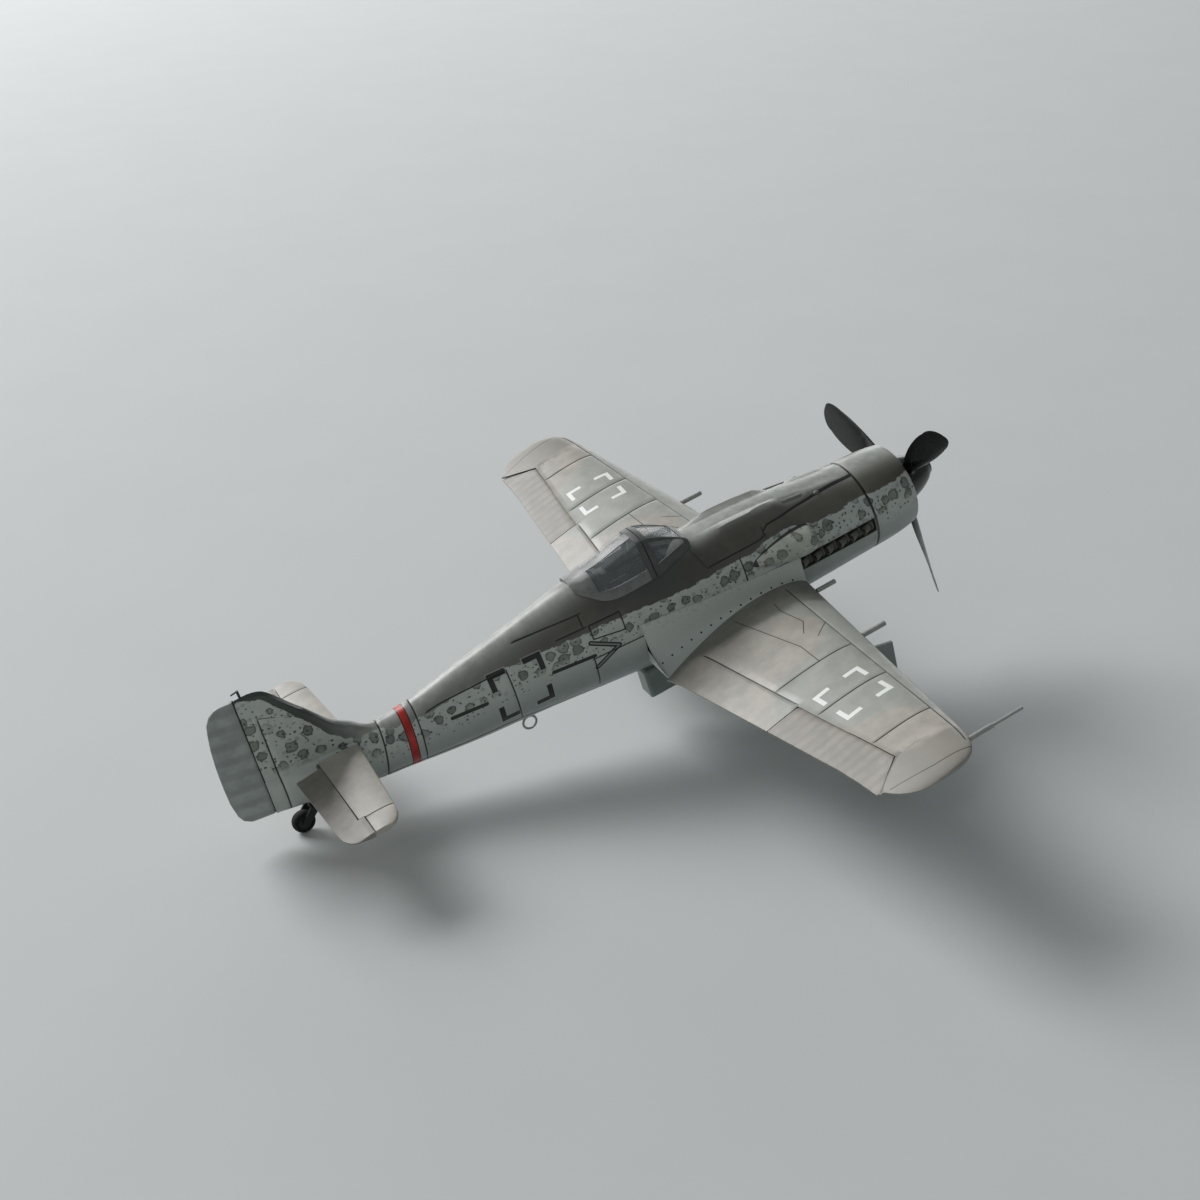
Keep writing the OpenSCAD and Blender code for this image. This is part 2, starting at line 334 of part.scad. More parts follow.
module headrest_armour() color("#454746") stand() union() {
  translate([-68.6, -1.7, 8.6]) cube([0.9, 3.4, 5.05]); translate([-67.7, -1.2, 10.6]) cube([1.3, 2.4, 2.4]);
  translate([-69.25, -3.5, 8.2]) cube([1.6, 7.0, 0.8]); }

// ---------- canopy ----------
// s, half width at the rail, rail height, half width at the shoulder, shoulder height, crown height
CAN = [[51.2, 3.4, 12.35, 2.9, 12.55, 12.7], [53.0, 3.95, 12.3, 2.9, 13.7, 13.9], [56.0, 4.75, 11.6, 2.95, 15.4, 15.65], [58.6, 5.3, 11.0, 3.0, 16.4, 16.8],
  [60.0, 5.4, 10.95, 3.0, 16.4, 16.95], [63, 5.45, 10.95, 3.0, 15.8, 16.45], [67, 5.35, 11.1, 2.9, 14.9, 15.5], [70, 4.85, 11.7, 2.6, 14.5, 15.0], [72.2, 3.7, 12.95, 2.1, 14.25, 14.6], [73.7, 2.5, 14.0, 1.4, 14.3, 14.45]];
function can_path(s, k) = let (a = at(CAN, s, 1) - k, b = at(CAN, s, 2), c = at(CAN, s, 3) - k * 0.8, d = at(CAN, s, 4) - k * 0.7, e = at(CAN, s, 5) - k,
    q = [for (i = [0:6]) let (t = i / 6) i <= 3 ? [lerp(a, c, i / 3), lerp(b, d, i / 3) , 0] : [c * (1 - pow((i - 3) / 3, 1.25)), lerp(d, e, 1 - pow(1 - (i - 3) / 3, 1.7)), 0]])
  concat([for (i = [0:6]) [-s, -q[i][0], q[i][1]]], [for (i = [5:-1:0]) [-s, q[i][0], q[i][1]]]);
module canopy_part(S) skin_solid([for (s = S) can_path(s, 0)], [for (s = S) can_path(s, 0.45)]);
module windscreen() color("#b9c2c4", 0.4) stand() canopy_part([51.4, 53, 55, 57, 58.5]);
module windscreen_arch() color("#5b5c5b") stand() canopy_part([58.5, 59.3]);
module hood_hoop() color("#5b5c5b") stand() canopy_part([59.5, 60.6]);
module hood_glass() color("#b9c2c4", 0.4) stand() canopy_part([60.6, 62.5, 65, 67.5, 70]);
module hood_fairing() color("#5b5c5b") stand() canopy_part([70, 71.2, 72.4, 73.6]);

// ---------- small fittings ----------
module aerial_stub() color("#2f3331") stand() union() { rod([-131.2, 0, 23.95], [-131.2, 0, 25.3], 0.22, 24); rod([-131.2, 0, 25.2], [-132.4, 0, 25.0], 0.14, 24); }
module df_loop() color("#a9aaa6") stand() let (z = at(FUS, 88, 3)) union() {
  translate([-88, 0, z - 1.9]) rotate([90, 0, 0]) rotate_extrude($fn = 48) translate([1.25, 0]) circle(r = 0.22, $fn = 16);
  translate([-88, 0, z - 0.55]) cylinder(r = 0.35, h = 0.5, $fn = 24); }
module belly_rack() color("#7f8a86") stand() let (z = -8.9) union() {
  translate([-65.8, -2.0, -15.2]) cube([12.4, 4.0, 5.9]);
  translate([-64.4, -1.2, -9.3]) cube([9.4, 2.4, 0.4]);
}

// ---------- undercarriage ----------
// ground frame: x measured from the tail wheel contact
module ground() translate([-centre_x, 0, 0]) children();
axle = [98.1, track_half, wheel_r]; leg_y = track_half + wheel_w / 2 + 1.3; door_y = leg_y + 1.0;
leg_top = [87.2, leg_y, 25.3];
// the part of the wing that the top of the leg butts against
module wing_block() translate([0, 0, -0.02]) skin_solid([for (w = WS) if (w[0] > 20 && w[0] < 35) wing_curve(w[0], w[1], 2)],
                                                       [for (w = WS) if (w[0] > 20 && w[0] < 35) wing_curve(w[0], w[1], -2)]);
module gear_leg() { v = leg_top - [axle[0], leg_y, axle[2]]; L = norm(v);
  translate([axle[0], leg_y, axle[2]]) rotate([0, acos(v[2] / L), atan2(v[1], v[0])]) rotate_extrude($fn = 48)
    polygon([[0, 0.5], [0.65, 0.5], [0.65, L * 0.42], [1.0, L * 0.44], [1.0, L], [0, L]]);
}
module gear_axle() translate([axle[0], leg_y + 0.8, axle[2]]) rotate([90, 0, 0]) rotate_extrude($fn = 48)
  polygon([[0, 0], [0.85, 0], [0.85, 1.45], [0.45, 1.45], [0.45, wheel_w + 2.2], [0, wheel_w + 2.2]]);
module gear_leg_left() color("#6e726f") difference() { ground() gear_leg(); stand() port() wing_block(); }
module gear_leg_right() color("#6e726f") difference() { ground() port() gear_leg(); stand() wing_block(); }
module gear_axle_left() color("#77797b") ground() gear_axle();
module gear_axle_right() color("#77797b") ground() port() gear_axle();
module gear_door() translate([0, door_y + 0.5, 0]) rotate([90, 0, 0]) linear_extrude(height = 0.5)
  polygon([[axle[0] + 2.6, 4.6], [axle[0] + 3.6, 7.5], [axle[0] + 0.4, 21.6], [axle[0] - 12.0, 21.2], [axle[0] - 7.0, 8.8], [axle[0] - 4.6, 5.2], [axle[0] - 2.2, 3.4], [axle[0] + 1.0, 3.2]]);
module gear_door_left() color("#8d9a9c") ground() gear_door();
module gear_door_right() color("#8d9a9c") ground() port() gear_door();
module on_axle() translate([axle[0], axle[1], axle[2]]) rotate([90, 0, 0]) children();
module hub() on_axle() difference() {
  union() { translate([0, 0, -wheel_w * 0.42]) cylinder(r = wheel_r * 0.56, h = wheel_w * 0.84, $fn = 64); }
  translate([0, 0, -3]) cylinder(r = 0.45 + run_gap, h = 6, $fn = 48);
  for (e = [-1, 1]) translate([0, 0, e * wheel_w * 0.42]) difference() { translate([0, 0, -0.3]) cylinder(r = wheel_r * 0.47, h = 0.6, $fn = 48); translate([0, 0, -1]) cylinder(r = 1.1, h = 2, $fn = 32); }
}
module tyre() on_axle() rotate_extrude($fn = 96) polygon(concat([[wheel_r * 0.56, -wheel_w * 0.42]],
  [for (i = [0:12]) let (a = -75 + 12.5 * i) [wheel_r * 0.72 + wheel_r * 0.28 * pow(max(0, cos(a)), 0.8), wheel_w * 0.5 * sin(a) / sin(75)]],
  [[wheel_r * 0.56, wheel_w * 0.42]]));
module wheel_hub_left() color("#2f3130") ground() hub();
module wheel_hub_right() color("#2f3130") ground() port() hub();
module tyre_left() color("#1c1c1c") ground() tyre();
module tyre_right() color("#1c1c1c") ground() port() tyre();

// tail wheel castor: its swivel stands upright behind the spine, the wheel trails it
swivel_x = 1.9; swivel_r = 0.4; tail_w = 1.7;
module swivel_place() rotate([0, stand_angle, 0]) translate([swivel_x - tip_x, 0, 5.6 - tip_z]) children();
module tail_wheel_yoke() color("#222423") ground() union() {
  translate([swivel_x, 0, 4.75]) cylinder(r = 0.8, h = 0.5, $fn = 32);
  translate([swivel_x, 0, 5.2]) cylinder(r = swivel_r, h = 2.2, $fn = 32);
  translate([swivel_x - 0.6, -1.5, 4.75]) cube([1.2, 3.0, 0.4]);
  for (e = [-1, 1]) translate([0, e * 1.3 + 0.2, 0]) rotate([90, 0, 0]) linear_extrude(height = 0.4)
    polygon([[swivel_x - 0.7, 5.15], [swivel_x + 0.6, 5.15], [swivel_x + 0.5, 4.3], [0.55, 1.75], [0, 1.4], [-0.6, 1.85], [-0.5, 2.45]]);
  translate([0, 1.5, tail_wheel_r]) rotate([90, 0, 0]) cylinder(r = 0.3, h = 3.0, $fn = 24);
}
module tail_wheel_hub() color("#2f3130") ground() translate([0, 0, tail_wheel_r]) rotate([90, 0, 0]) difference() {
  translate([0, 0, -tail_w * 0.42]) cylinder(r = 1.05, h = tail_w * 0.84, $fn = 48); translate([0, 0, -3]) cylinder(r = 0.3 + run_gap, h = 6, $fn = 32); }
module tail_wheel_tyre() color("#1c1c1c") ground() translate([0, 0, tail_wheel_r]) rotate([90, 0, 0]) rotate_extrude($fn = 72)
  polygon(concat([[1.05, -tail_w * 0.42]], [for (i = [0:10]) let (a = -75 + 15 * i) [1.4 + (tail_wheel_r - 1.4) * pow(max(0, cos(a)), 0.8), tail_w * 0.5 * sin(a) / sin(75)]], [[1.05, tail_w * 0.42]]));

fuselage_left();
fuselage_right();
wing_fillet_left();
wing_fillet_right();
wing_upper_left();
wing_upper_right();
wing_lower_left();
wing_lower_right();
aileron_left();
aileron_right();
aileron_pins();
tailplane_left();
tailplane_right();
elevator_left();
elevator_right();
elevator_torque_tube();
rudder();
rudder_hinge();
cowl_ring();
radiator_core();
nose_bulkhead();
exhaust_stacks_left();
exhaust_stacks_right();
supercharger_intake();
cowl_guns();
wing_root_guns();
outer_wing_guns();
pitot_tube();
spinner();
spinner_backplate();
propeller_hub();
propeller_blades();
propeller_shaft();
shaft_retainer();
cockpit_tub();
pilot_seat();
instrument_panel();
control_stick();
headrest_armour();
windscreen();
windscreen_arch();
hood_hoop();
hood_glass();
hood_fairing();
aerial_stub();
df_loop();
belly_rack();
gear_leg_left();
gear_leg_right();
gear_axle_left();
gear_axle_right();
gear_door_left();
gear_door_right();
wheel_hub_left();
wheel_hub_right();
tyre_left();
tyre_right();
tail_wheel_yoke();
tail_wheel_hub();
tail_wheel_tyre();
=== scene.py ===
import math
import bpy
import bmesh
import numpy as np
from mathutils import Matrix, Vector


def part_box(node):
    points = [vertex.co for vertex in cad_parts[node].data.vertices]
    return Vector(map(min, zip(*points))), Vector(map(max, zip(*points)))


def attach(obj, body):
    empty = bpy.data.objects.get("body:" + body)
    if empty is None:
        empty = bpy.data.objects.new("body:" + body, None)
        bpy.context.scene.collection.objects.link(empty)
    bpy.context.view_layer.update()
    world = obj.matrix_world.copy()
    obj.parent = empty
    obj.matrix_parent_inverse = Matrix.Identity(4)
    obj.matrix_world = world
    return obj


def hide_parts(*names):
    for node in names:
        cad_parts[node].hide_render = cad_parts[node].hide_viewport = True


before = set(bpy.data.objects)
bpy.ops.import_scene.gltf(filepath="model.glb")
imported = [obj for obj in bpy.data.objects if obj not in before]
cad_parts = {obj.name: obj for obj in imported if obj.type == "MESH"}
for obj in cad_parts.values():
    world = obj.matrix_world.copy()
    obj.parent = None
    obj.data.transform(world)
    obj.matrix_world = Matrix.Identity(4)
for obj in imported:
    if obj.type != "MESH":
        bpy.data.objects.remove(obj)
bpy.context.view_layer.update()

MM = 0.001
LO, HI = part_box("tyre_left")
CX = 98.1 - (LO[0] + HI[0]) / 2 / MM          # middle of the model, from the tail wheel contact
# ---- shape functions (millimetres; s aft of the spinner tip, y to the left, z above the thrust line)
CA, SA = math.cos(math.radians(14.5)), math.sin(math.radians(14.5))


def lerp(a, b, t):
    return a + (b - a) * t


def c01(t):
    return np.clip(t, 0.0, 1.0)


def smooth(a, b, v):
    t = c01((np.asarray(v, float) - a) / (b - a))
    return t * t * (3 - 2 * t)


def row(s, y, z):
    s, y, z = np.broadcast_arrays(np.asarray(s, float), np.asarray(y, float), np.asarray(z, float))
    return np.stack([(125.5 - CX) - CA * s - SA * z, y, 38.0 - SA * s + CA * z], -1) * MM


def at(T, s, c):
    T = np.asarray(T, float)
    x, y = T[:, 0], T[:, c]
    s = np.asarray(s, float)
    i = np.clip(np.searchsorted(x, s, side="right") - 1, 0, len(x) - 2)
    m = np.empty(len(x))
    m[0] = (y[1] - y[0]) / (x[1] - x[0])
    m[-1] = (y[-1] - y[-2]) / (x[-1] - x[-2])
    m[1:-1] = (y[2:] - y[:-2]) / (x[2:] - x[:-2])
    h = x[i + 1] - x[i]
    t = c01((s - x[i]) / h)
    return (2*t**3 - 3*t**2 + 1) * y[i] + (t**3 - 2*t**2 + t) * m[i] * h + (3*t**2 - 2*t**3) * y[i + 1] + (t**3 - t**2) * m[i + 1] * h


COWL_R = 8.6
FUS = [
    [17.5, COWL_R, COWL_R, -COWL_R, 0.0, 2.0, 2.0], [25.0, 8.6, 9.5, -8.9, 0.1, 2.0, 2.0], [34.0, 8.4, 10.9, -9.1, 0.3, 2.1, 2.1],
    [42.0, 8.1, 11.5, -9.1, 0.5, 2.2, 2.2], [50.0, 7.7, 11.7, -9.0, 0.7, 2.4, 2.2], [58.0, 7.2, 12.4, -8.8, 1.0, 2.7, 2.2],
    [66.0, 6.6, 13.2, -8.3, 1.6, 2.7, 2.2], [74.0, 6.0, 13.95, -7.5, 2.3, 2.3, 2.2], [82.0, 5.3, 12.6, -6.6, 2.5, 2.1, 2.2],
    [90.0, 4.7, 11.05, -5.9, 2.5, 2.1, 2.2], [98.0, 4.1, 9.6, -5.2, 2.4, 2.1, 2.2], [106.0, 3.6, 8.0, -3.9, 2.3, 2.1, 2.2],
    [113.0, 3.2, 7.4, -2.8, 2.5, 2.1, 2.2], [120.0, 2.7, 7.6, -1.6, 3.0, 2.1, 2.2], [127.0, 2.1, 7.9, -0.4, 3.6, 2.1, 2.2],
    [133.0, 1.5, 8.2, 0.8, 4.4, 2.1, 2.2]]
FIN = [[108, 7.6], [112, 7.8], [115.3, 9.0], [118, 10.6], [120, 12.2], [123, 16.8], [125, 19.7],
       [126.6, 21.8], [128, 23.1], [129.6, 23.7], [131, 23.9], [133, 23.9]]
FIN_ROOT = 108.0


def fus_par(s, inset=0.0):
    w, t, b, m, nt, nb = [at(FUS, s, k) for k in (1, 2, 3, 4, 5, 6)]
    k = np.minimum(inset, w * 0.5)
    return w - k, t - k, b + k, m, nt, nb


def fus(s, a, inset=0.0):
    """(half width, height) of the body section at angle a (degrees) from the top"""
    w, t, b, m, nt, nb = fus_par(s, inset)
    a = np.radians(a)
    ca, sa = np.cos(a), np.maximum(0, np.sin(a))
    up = a < math.pi / 2 - 1e-9
    x = w * np.where(up, sa ** (2 / nt), sa ** (2 / nb))
    z = np.where(up, m + (t - m) * np.maximum(0, ca) ** (2 / nt), m - (m - b) * np.maximum(0, -ca) ** (2 / nb))
    return x, z


def fus_angle(s, z):
    w, t, b, m, nt, nb = fus_par(s)
    u = np.where(z > m, c01((z - m) / (t - m)) ** (nt / 2), -c01((m - z) / (m - b)) ** (nb / 2))
    return np.degrees(np.arccos(np.clip(u, -1, 1)))


def fus_y(s, z):
    return fus(s, fus_angle(s, z))[0]


def sill(s):
    return 39 * smooth(52, 60, s) * (1 - smooth(70.5, 73.3, s))


def fin_half(s, z):
    c = c01((s - 112) / 21)
    return lerp(1.45, 0.75, c01((z - 7) / 17)) * (0.35 + 0.65 * np.sin(np.radians(90 + 90 * (np.abs(c - 0.45) / 0.55) ** 2)) * 0.5 + 0.325)


def lean(s, z):
    return 0.0633 * (12.3 - z) * smooth(124, 132, s)


# ---- wing
HALF_SPAN, DIHEDRAL, WING_SKIN, GAP = 72.9, 0.0875, 0.9, 0.2
TIP_T0, TIP_S = 65.0, 50.5


def le(y): return 32.4 + 0.145 * y
def te(y): return 66.9 - 0.124 * y
def tipround(t, n): return 1 - np.maximum(0, 1 - c01(t) ** n) ** (1 / n)
def wle(y): return le(y) + (TIP_S - 0.25 - le(y)) * tipround((y - TIP_T0) / (HALF_SPAN - TIP_T0), 3.2)
def wte(y): return te(y) - (te(y) - TIP_S - 0.25) * tipround((y - TIP_T0) / (HALF_SPAN - TIP_T0), 2.4)
def zle(y): return -5.15 + DIHEDRAL * y
def zte(y): return -6.10 + DIHEDRAL * y
def thick(x): return 5 * (0.2969 * np.sqrt(x) - 0.126 * x - 0.3516 * x**2 + 0.2843 * x**3 - 0.1015 * x**4)
def camber(x): return np.where(x < 0.3, 0.02 * (0.6 * x - x**2) / 0.09, 0.02 * (0.4 + 0.6 * x - x**2) / 0.49)
def tc(y): return 0.153 - 0.0009 * y
def wx(s, y): return c01((s - wle(y)) / (wte(y) - wle(y)))


def wmid(s, y):
    xf = c01((s - le(y)) / (te(y) - le(y)))
    return lerp(zle(y), zte(y), xf) + camber(wx(s, y)) * (wte(y) - wle(y))


def whalf(s, y): return thick(wx(s, y)) * tc(y) * (wte(y) - wle(y)) + 0.1
def yfil(s): return 8.7 + 3.9 * c01((s - 44) / 22) ** 1.6


AIL_R = 0.75
def ail_s(y): return lerp(55.6, 52.9, (y - 40.4) / (63.6 - 40.4))
# ---- tail
ELEV_S, ELEV_Z, ELEV_R, TAIL_HALF = 124.7, 6.2, 0.55, 25.8
def tle(y): return 117.1 + 0.055 * y + (121.5 - 117.1 - 0.055 * y) * tipround((y - 20.5) / (TAIL_HALF - 20.5), 2.6)
def tte(y): return 129.4 - 0.045 * y - (129.4 - 0.045 * y - 124.2) * tipround((y - 21) / (TAIL_HALF - 21), 2.8)
def thalf(s, y): return 0.12 + thick(c01((s - tle(y)) / (tte(y) - tle(y)))) * 0.105 * (129.4 - 117.1) * (1 - 0.012 * y)
RUD = [[1.15, 136.2], [1.5, 138.0], [2.4, 139.2], [3.8, 139.75], [6.5, 140.0], [10, 139.85], [14, 139.5], [17.5, 139.0], [20.2, 138.4], [22, 137.9], [23.2, 137.0], [23.85, 135.9], [24.0, 135.0]]
def rud_h(z): return lerp(134.5, 133.1, (z - 1.3) / (23.4 - 1.3))
def rud_r(z): return lerp(1.0, 0.7, c01((z - 4) / 18))
# ---- canopy
CAN = [[51.2, 3.4, 12.35, 2.9, 12.55, 12.7], [53.0, 3.95, 12.3, 2.9, 13.7, 13.9], [56.0, 4.75, 11.6, 2.95, 15.4, 15.65], [58.6, 5.3, 11.0, 3.0, 16.4, 16.8],
       [60.0, 5.4, 10.95, 3.0, 16.4, 16.95], [63, 5.45, 10.95, 3.0, 15.8, 16.45], [67, 5.35, 11.1, 2.9, 14.9, 15.5], [70, 4.85, 11.7, 2.6, 14.5, 15.0], [72.2, 3.7, 12.95, 2.1, 14.25, 14.6], [73.7, 2.5, 14.0, 1.4, 14.3, 14.45]]
# ---- end of shape functions


# ---------------------------------------------------------------- mesh helpers
def make(name, verts, faces, body, mat, stands=(), wash=None, angle=32, weld=0.0015, orient=True):
    v = np.asarray(verts, float).reshape(-1, 3)
    if orient:
        vol = 0.0
        for f in faces:
            p0 = v[f[0]]
            for k in range(1, len(f) - 1):
                vol += float(np.dot(p0, np.cross(v[f[k]], v[f[k + 1]])))
        if vol < 0:
            faces = [tuple(reversed(f)) for f in faces]
    me = bpy.data.meshes.new(name)
    me.from_pydata([tuple(p) for p in v], [], [tuple(int(i) for i in f) for f in faces])
    if wash is not None:
        at_ = me.attributes.new("wash", "FLOAT", "POINT")
        at_.data.foreach_set("value", np.asarray(wash, np.float32).ravel())
    bm = bmesh.new()
    bm.from_mesh(me)
    bmesh.ops.remove_doubles(bm, verts=bm.verts, dist=weld * MM)
    bmesh.ops.dissolve_degenerate(bm, edges=bm.edges, dist=weld * MM * 0.5)
    loose = [q for q in bm.verts if not q.link_faces]
    bmesh.ops.delete(bm, geom=loose, context="VERTS")
    bm.to_mesh(me)
    bm.free()
    me.validate()
    me.shade_smooth()
    me.set_sharp_from_angle(angle=math.radians(angle))
    ob = bpy.data.objects.new(name, me)
    bpy.context.scene.collection.objects.link(ob)
    me.materials.append(mat)
    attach(ob, body)
    if stands:
        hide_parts(*stands)
    return ob


def grid_faces(M, N, o=0, closed=False):
    idx = np.arange(M * N).reshape(M, N) + o
    if closed:
        idx = np.concatenate([idx, idx[:, :1]], 1)
    a, b, c, d = idx[:-1, :-1].ravel(), idx[1:, :-1].ravel(), idx[1:, 1:].ravel(), idx[:-1, 1:].ravel()
    return [tuple(q) for q in np.stack([a, b, c, d], 1)]


def shell(A, B, washA=None):
    """closed solid between two matching grids"""
    M, N, _ = A.shape
    V = np.concatenate([A.reshape(-1, 3), B.reshape(-1, 3)])
    o = M * N
    idx = np.arange(o).reshape(M, N)
    F = grid_faces(M, N)
    F += [tuple(reversed([i + o for i in f])) for f in grid_faces(M, N)]
    for e in (idx[:, 0], idx[::-1, -1], idx[0, ::-1], idx[-1, :]):
        F += [(e[k], e[k] + o, e[k + 1] + o, e[k + 1]) for k in range(len(e) - 1)]
    w = np.zeros(2 * o)
    if washA is not None:
        w[:o] = washA.ravel()
    return V, F, w


def join(parts):
    V, F, W, o = [], [], [], 0
    for p in parts:
        v, f = p[0], p[1]
        w = p[2] if len(p) > 2 else np.zeros(len(v))
        V.append(np.asarray(v, float).reshape(-1, 3))
        F += [tuple(i + o for i in q) for q in f]
        W.append(w)
        o += len(V[-1])
    return np.concatenate(V), F, np.concatenate(W)


def flip_fix(V, F):
    vol = sum(float(np.dot(V[f[0]], np.cross(V[f[k]], V[f[k + 1]]))) for f in F for k in range(1, len(f) - 1))
    return F if vol > 0 else [tuple(reversed(f)) for f in F]


def normals(P):
    du = np.gradient(P, axis=0)
    dv = np.gradient(P, axis=1)
    n = np.cross(du, dv)
    return n / np.maximum(np.linalg.norm(n, axis=-1, keepdims=True), 1e-9)


def with_feats(base, centres, w=0.12, clear=0.34):
    keep = [b for b in base if all(abs(b - c) > clear for c in centres)]
    arr = np.array(sorted(keep + [q for c in centres for q in (c - w, c, c + w)]))
    return arr, [int(np.argmin(np.abs(arr - c))) for c in centres]


def lathe(profile, origin, axis_u, n=96, closed=True):
    """profile: (radius, distance along the axis) pairs in mm, closed loop; origin and axis in row frame mm/unit"""
    ax = np.array(axis_u, float); ax /= np.linalg.norm(ax)
    t = np.array([0, 1, 0.0]) if abs(ax[1]) < 0.9 else np.array([1.0, 0, 0])
    e1 = np.cross(ax, t); e1 /= np.linalg.norm(e1)
    e2 = np.cross(ax, e1)
    P = np.array(profile, float)
    th = np.linspace(0, 2 * math.pi, n, endpoint=False)
    V = np.array(origin)[None, None] + P[:, None, 1:2] * ax + P[:, None, 0:1] * (np.cos(th)[None, :, None] * e1 + np.sin(th)[None, :, None] * e2)
    m = len(P)
    V = V.reshape(-1, 3) * MM
    F = []
    for i in range(m if closed else m - 1):
        j = (i + 1) % m
        for k in range(n):
            l = (k + 1) % n
            F.append((i * n + k, j * n + k, j * n + l, i * n + l))
    return V, F


def pt(s, y, z):
    return row(s, y, z) / MM


FWD = np.array([CA, 0, SA])       # towards the nose
UPV = np.array([-SA, 0, CA])


def tube(p, d, up, ru, rv, L, wall, depth, n=28, taper=1.0):
    """oval tube from p along d with an open far end"""
    d = np.array(d, float); d /= np.linalg.norm(d)
    u = np.array(up, float); u -= d * np.dot(u, d); u /= np.linalg.norm(u)
    v = np.cross(d, u)
    th = np.linspace(0, 2 * math.pi, n, endpoint=False)
    rings = []
    def ring(t, a, b):
        rings.append(np.array(p)[None] + t * d + (a * np.cos(th)[:, None]) * u + (b * np.sin(th)[:, None]) * v)
    ring(0, ru * taper, rv * taper); ring(0.3 * L, ru * (0.5 + taper / 2), rv * (0.5 + taper / 2)); ring(L - 0.06, ru, rv); ring(L, ru - 0.04, rv - 0.04)
    ring(L, ru - wall + 0.03, rv - wall + 0.03); ring(L - 0.05, ru - wall, rv - wall); ring(L - depth, ru - wall, rv - wall)
    m = len(rings)
    V = np.concatenate(rings)
    F = []
    for i in range(m - 1):
        for k in range(n):
            l = (k + 1) % n
            F.append((i * n + k, i * n + l, (i + 1) * n + l, (i + 1) * n + k))
    F.append(tuple(range(n))[::-1])
    F.append(tuple((m - 1) * n + k for k in range(n)))
    return V * MM, F


# ---------------------------------------------------------------- material helpers
class X:
    """arithmetic on shader sockets"""
    def __init__(self, k, s):
        self.k, self.s = k, s
    def _m(self, op, *a, clamp=False):
        n = self.k.nodes.new("ShaderNodeMath")
        n.operation = op
        n.use_clamp = clamp
        for i, q in enumerate((self,) + a):
            if isinstance(q, X):
                self.k.links.new(q.s, n.inputs[i])
            else:
                n.inputs[i].default_value = q
        return X(self.k, n.outputs[0])
    def __add__(self, o): return self._m("ADD", o)
    def __radd__(self, o): return self._m("ADD", o)
    def __sub__(self, o): return self._m("SUBTRACT", o)
    def __rsub__(self, o): return (self * -1.0) + o
    def __mul__(self, o): return self._m("MULTIPLY", o)
    def __rmul__(self, o): return self._m("MULTIPLY", o)
    def __truediv__(self, o): return self._m("DIVIDE", o)
    def abs(self): return self._m("ABSOLUTE")
    def min(self, o): return self._m("MINIMUM", o)
    def max(self, o): return self._m("MAXIMUM", o)
    def pow(self, o): return self._m("POWER", o)
    def sin(self): return self._m("SINE")
    def sat(self): return self._m("ADD", 0.0, clamp=True)
    def ss(self, a, b, lo=0.0, hi=1.0, kind="SMOOTHSTEP"):
        n = self.k.nodes.new("ShaderNodeMapRange")
        n.interpolation_type = kind
        n.inputs["From Min"].default_value, n.inputs["From Max"].default_value = (a, b) if a < b else (b, a)
        n.inputs["To Min"].default_value, n.inputs["To Max"].default_value = (lo, hi) if a < b else (hi, lo)
        self.k.links.new(self.s, n.inputs["Value"])
        return X(self.k, n.outputs[0])


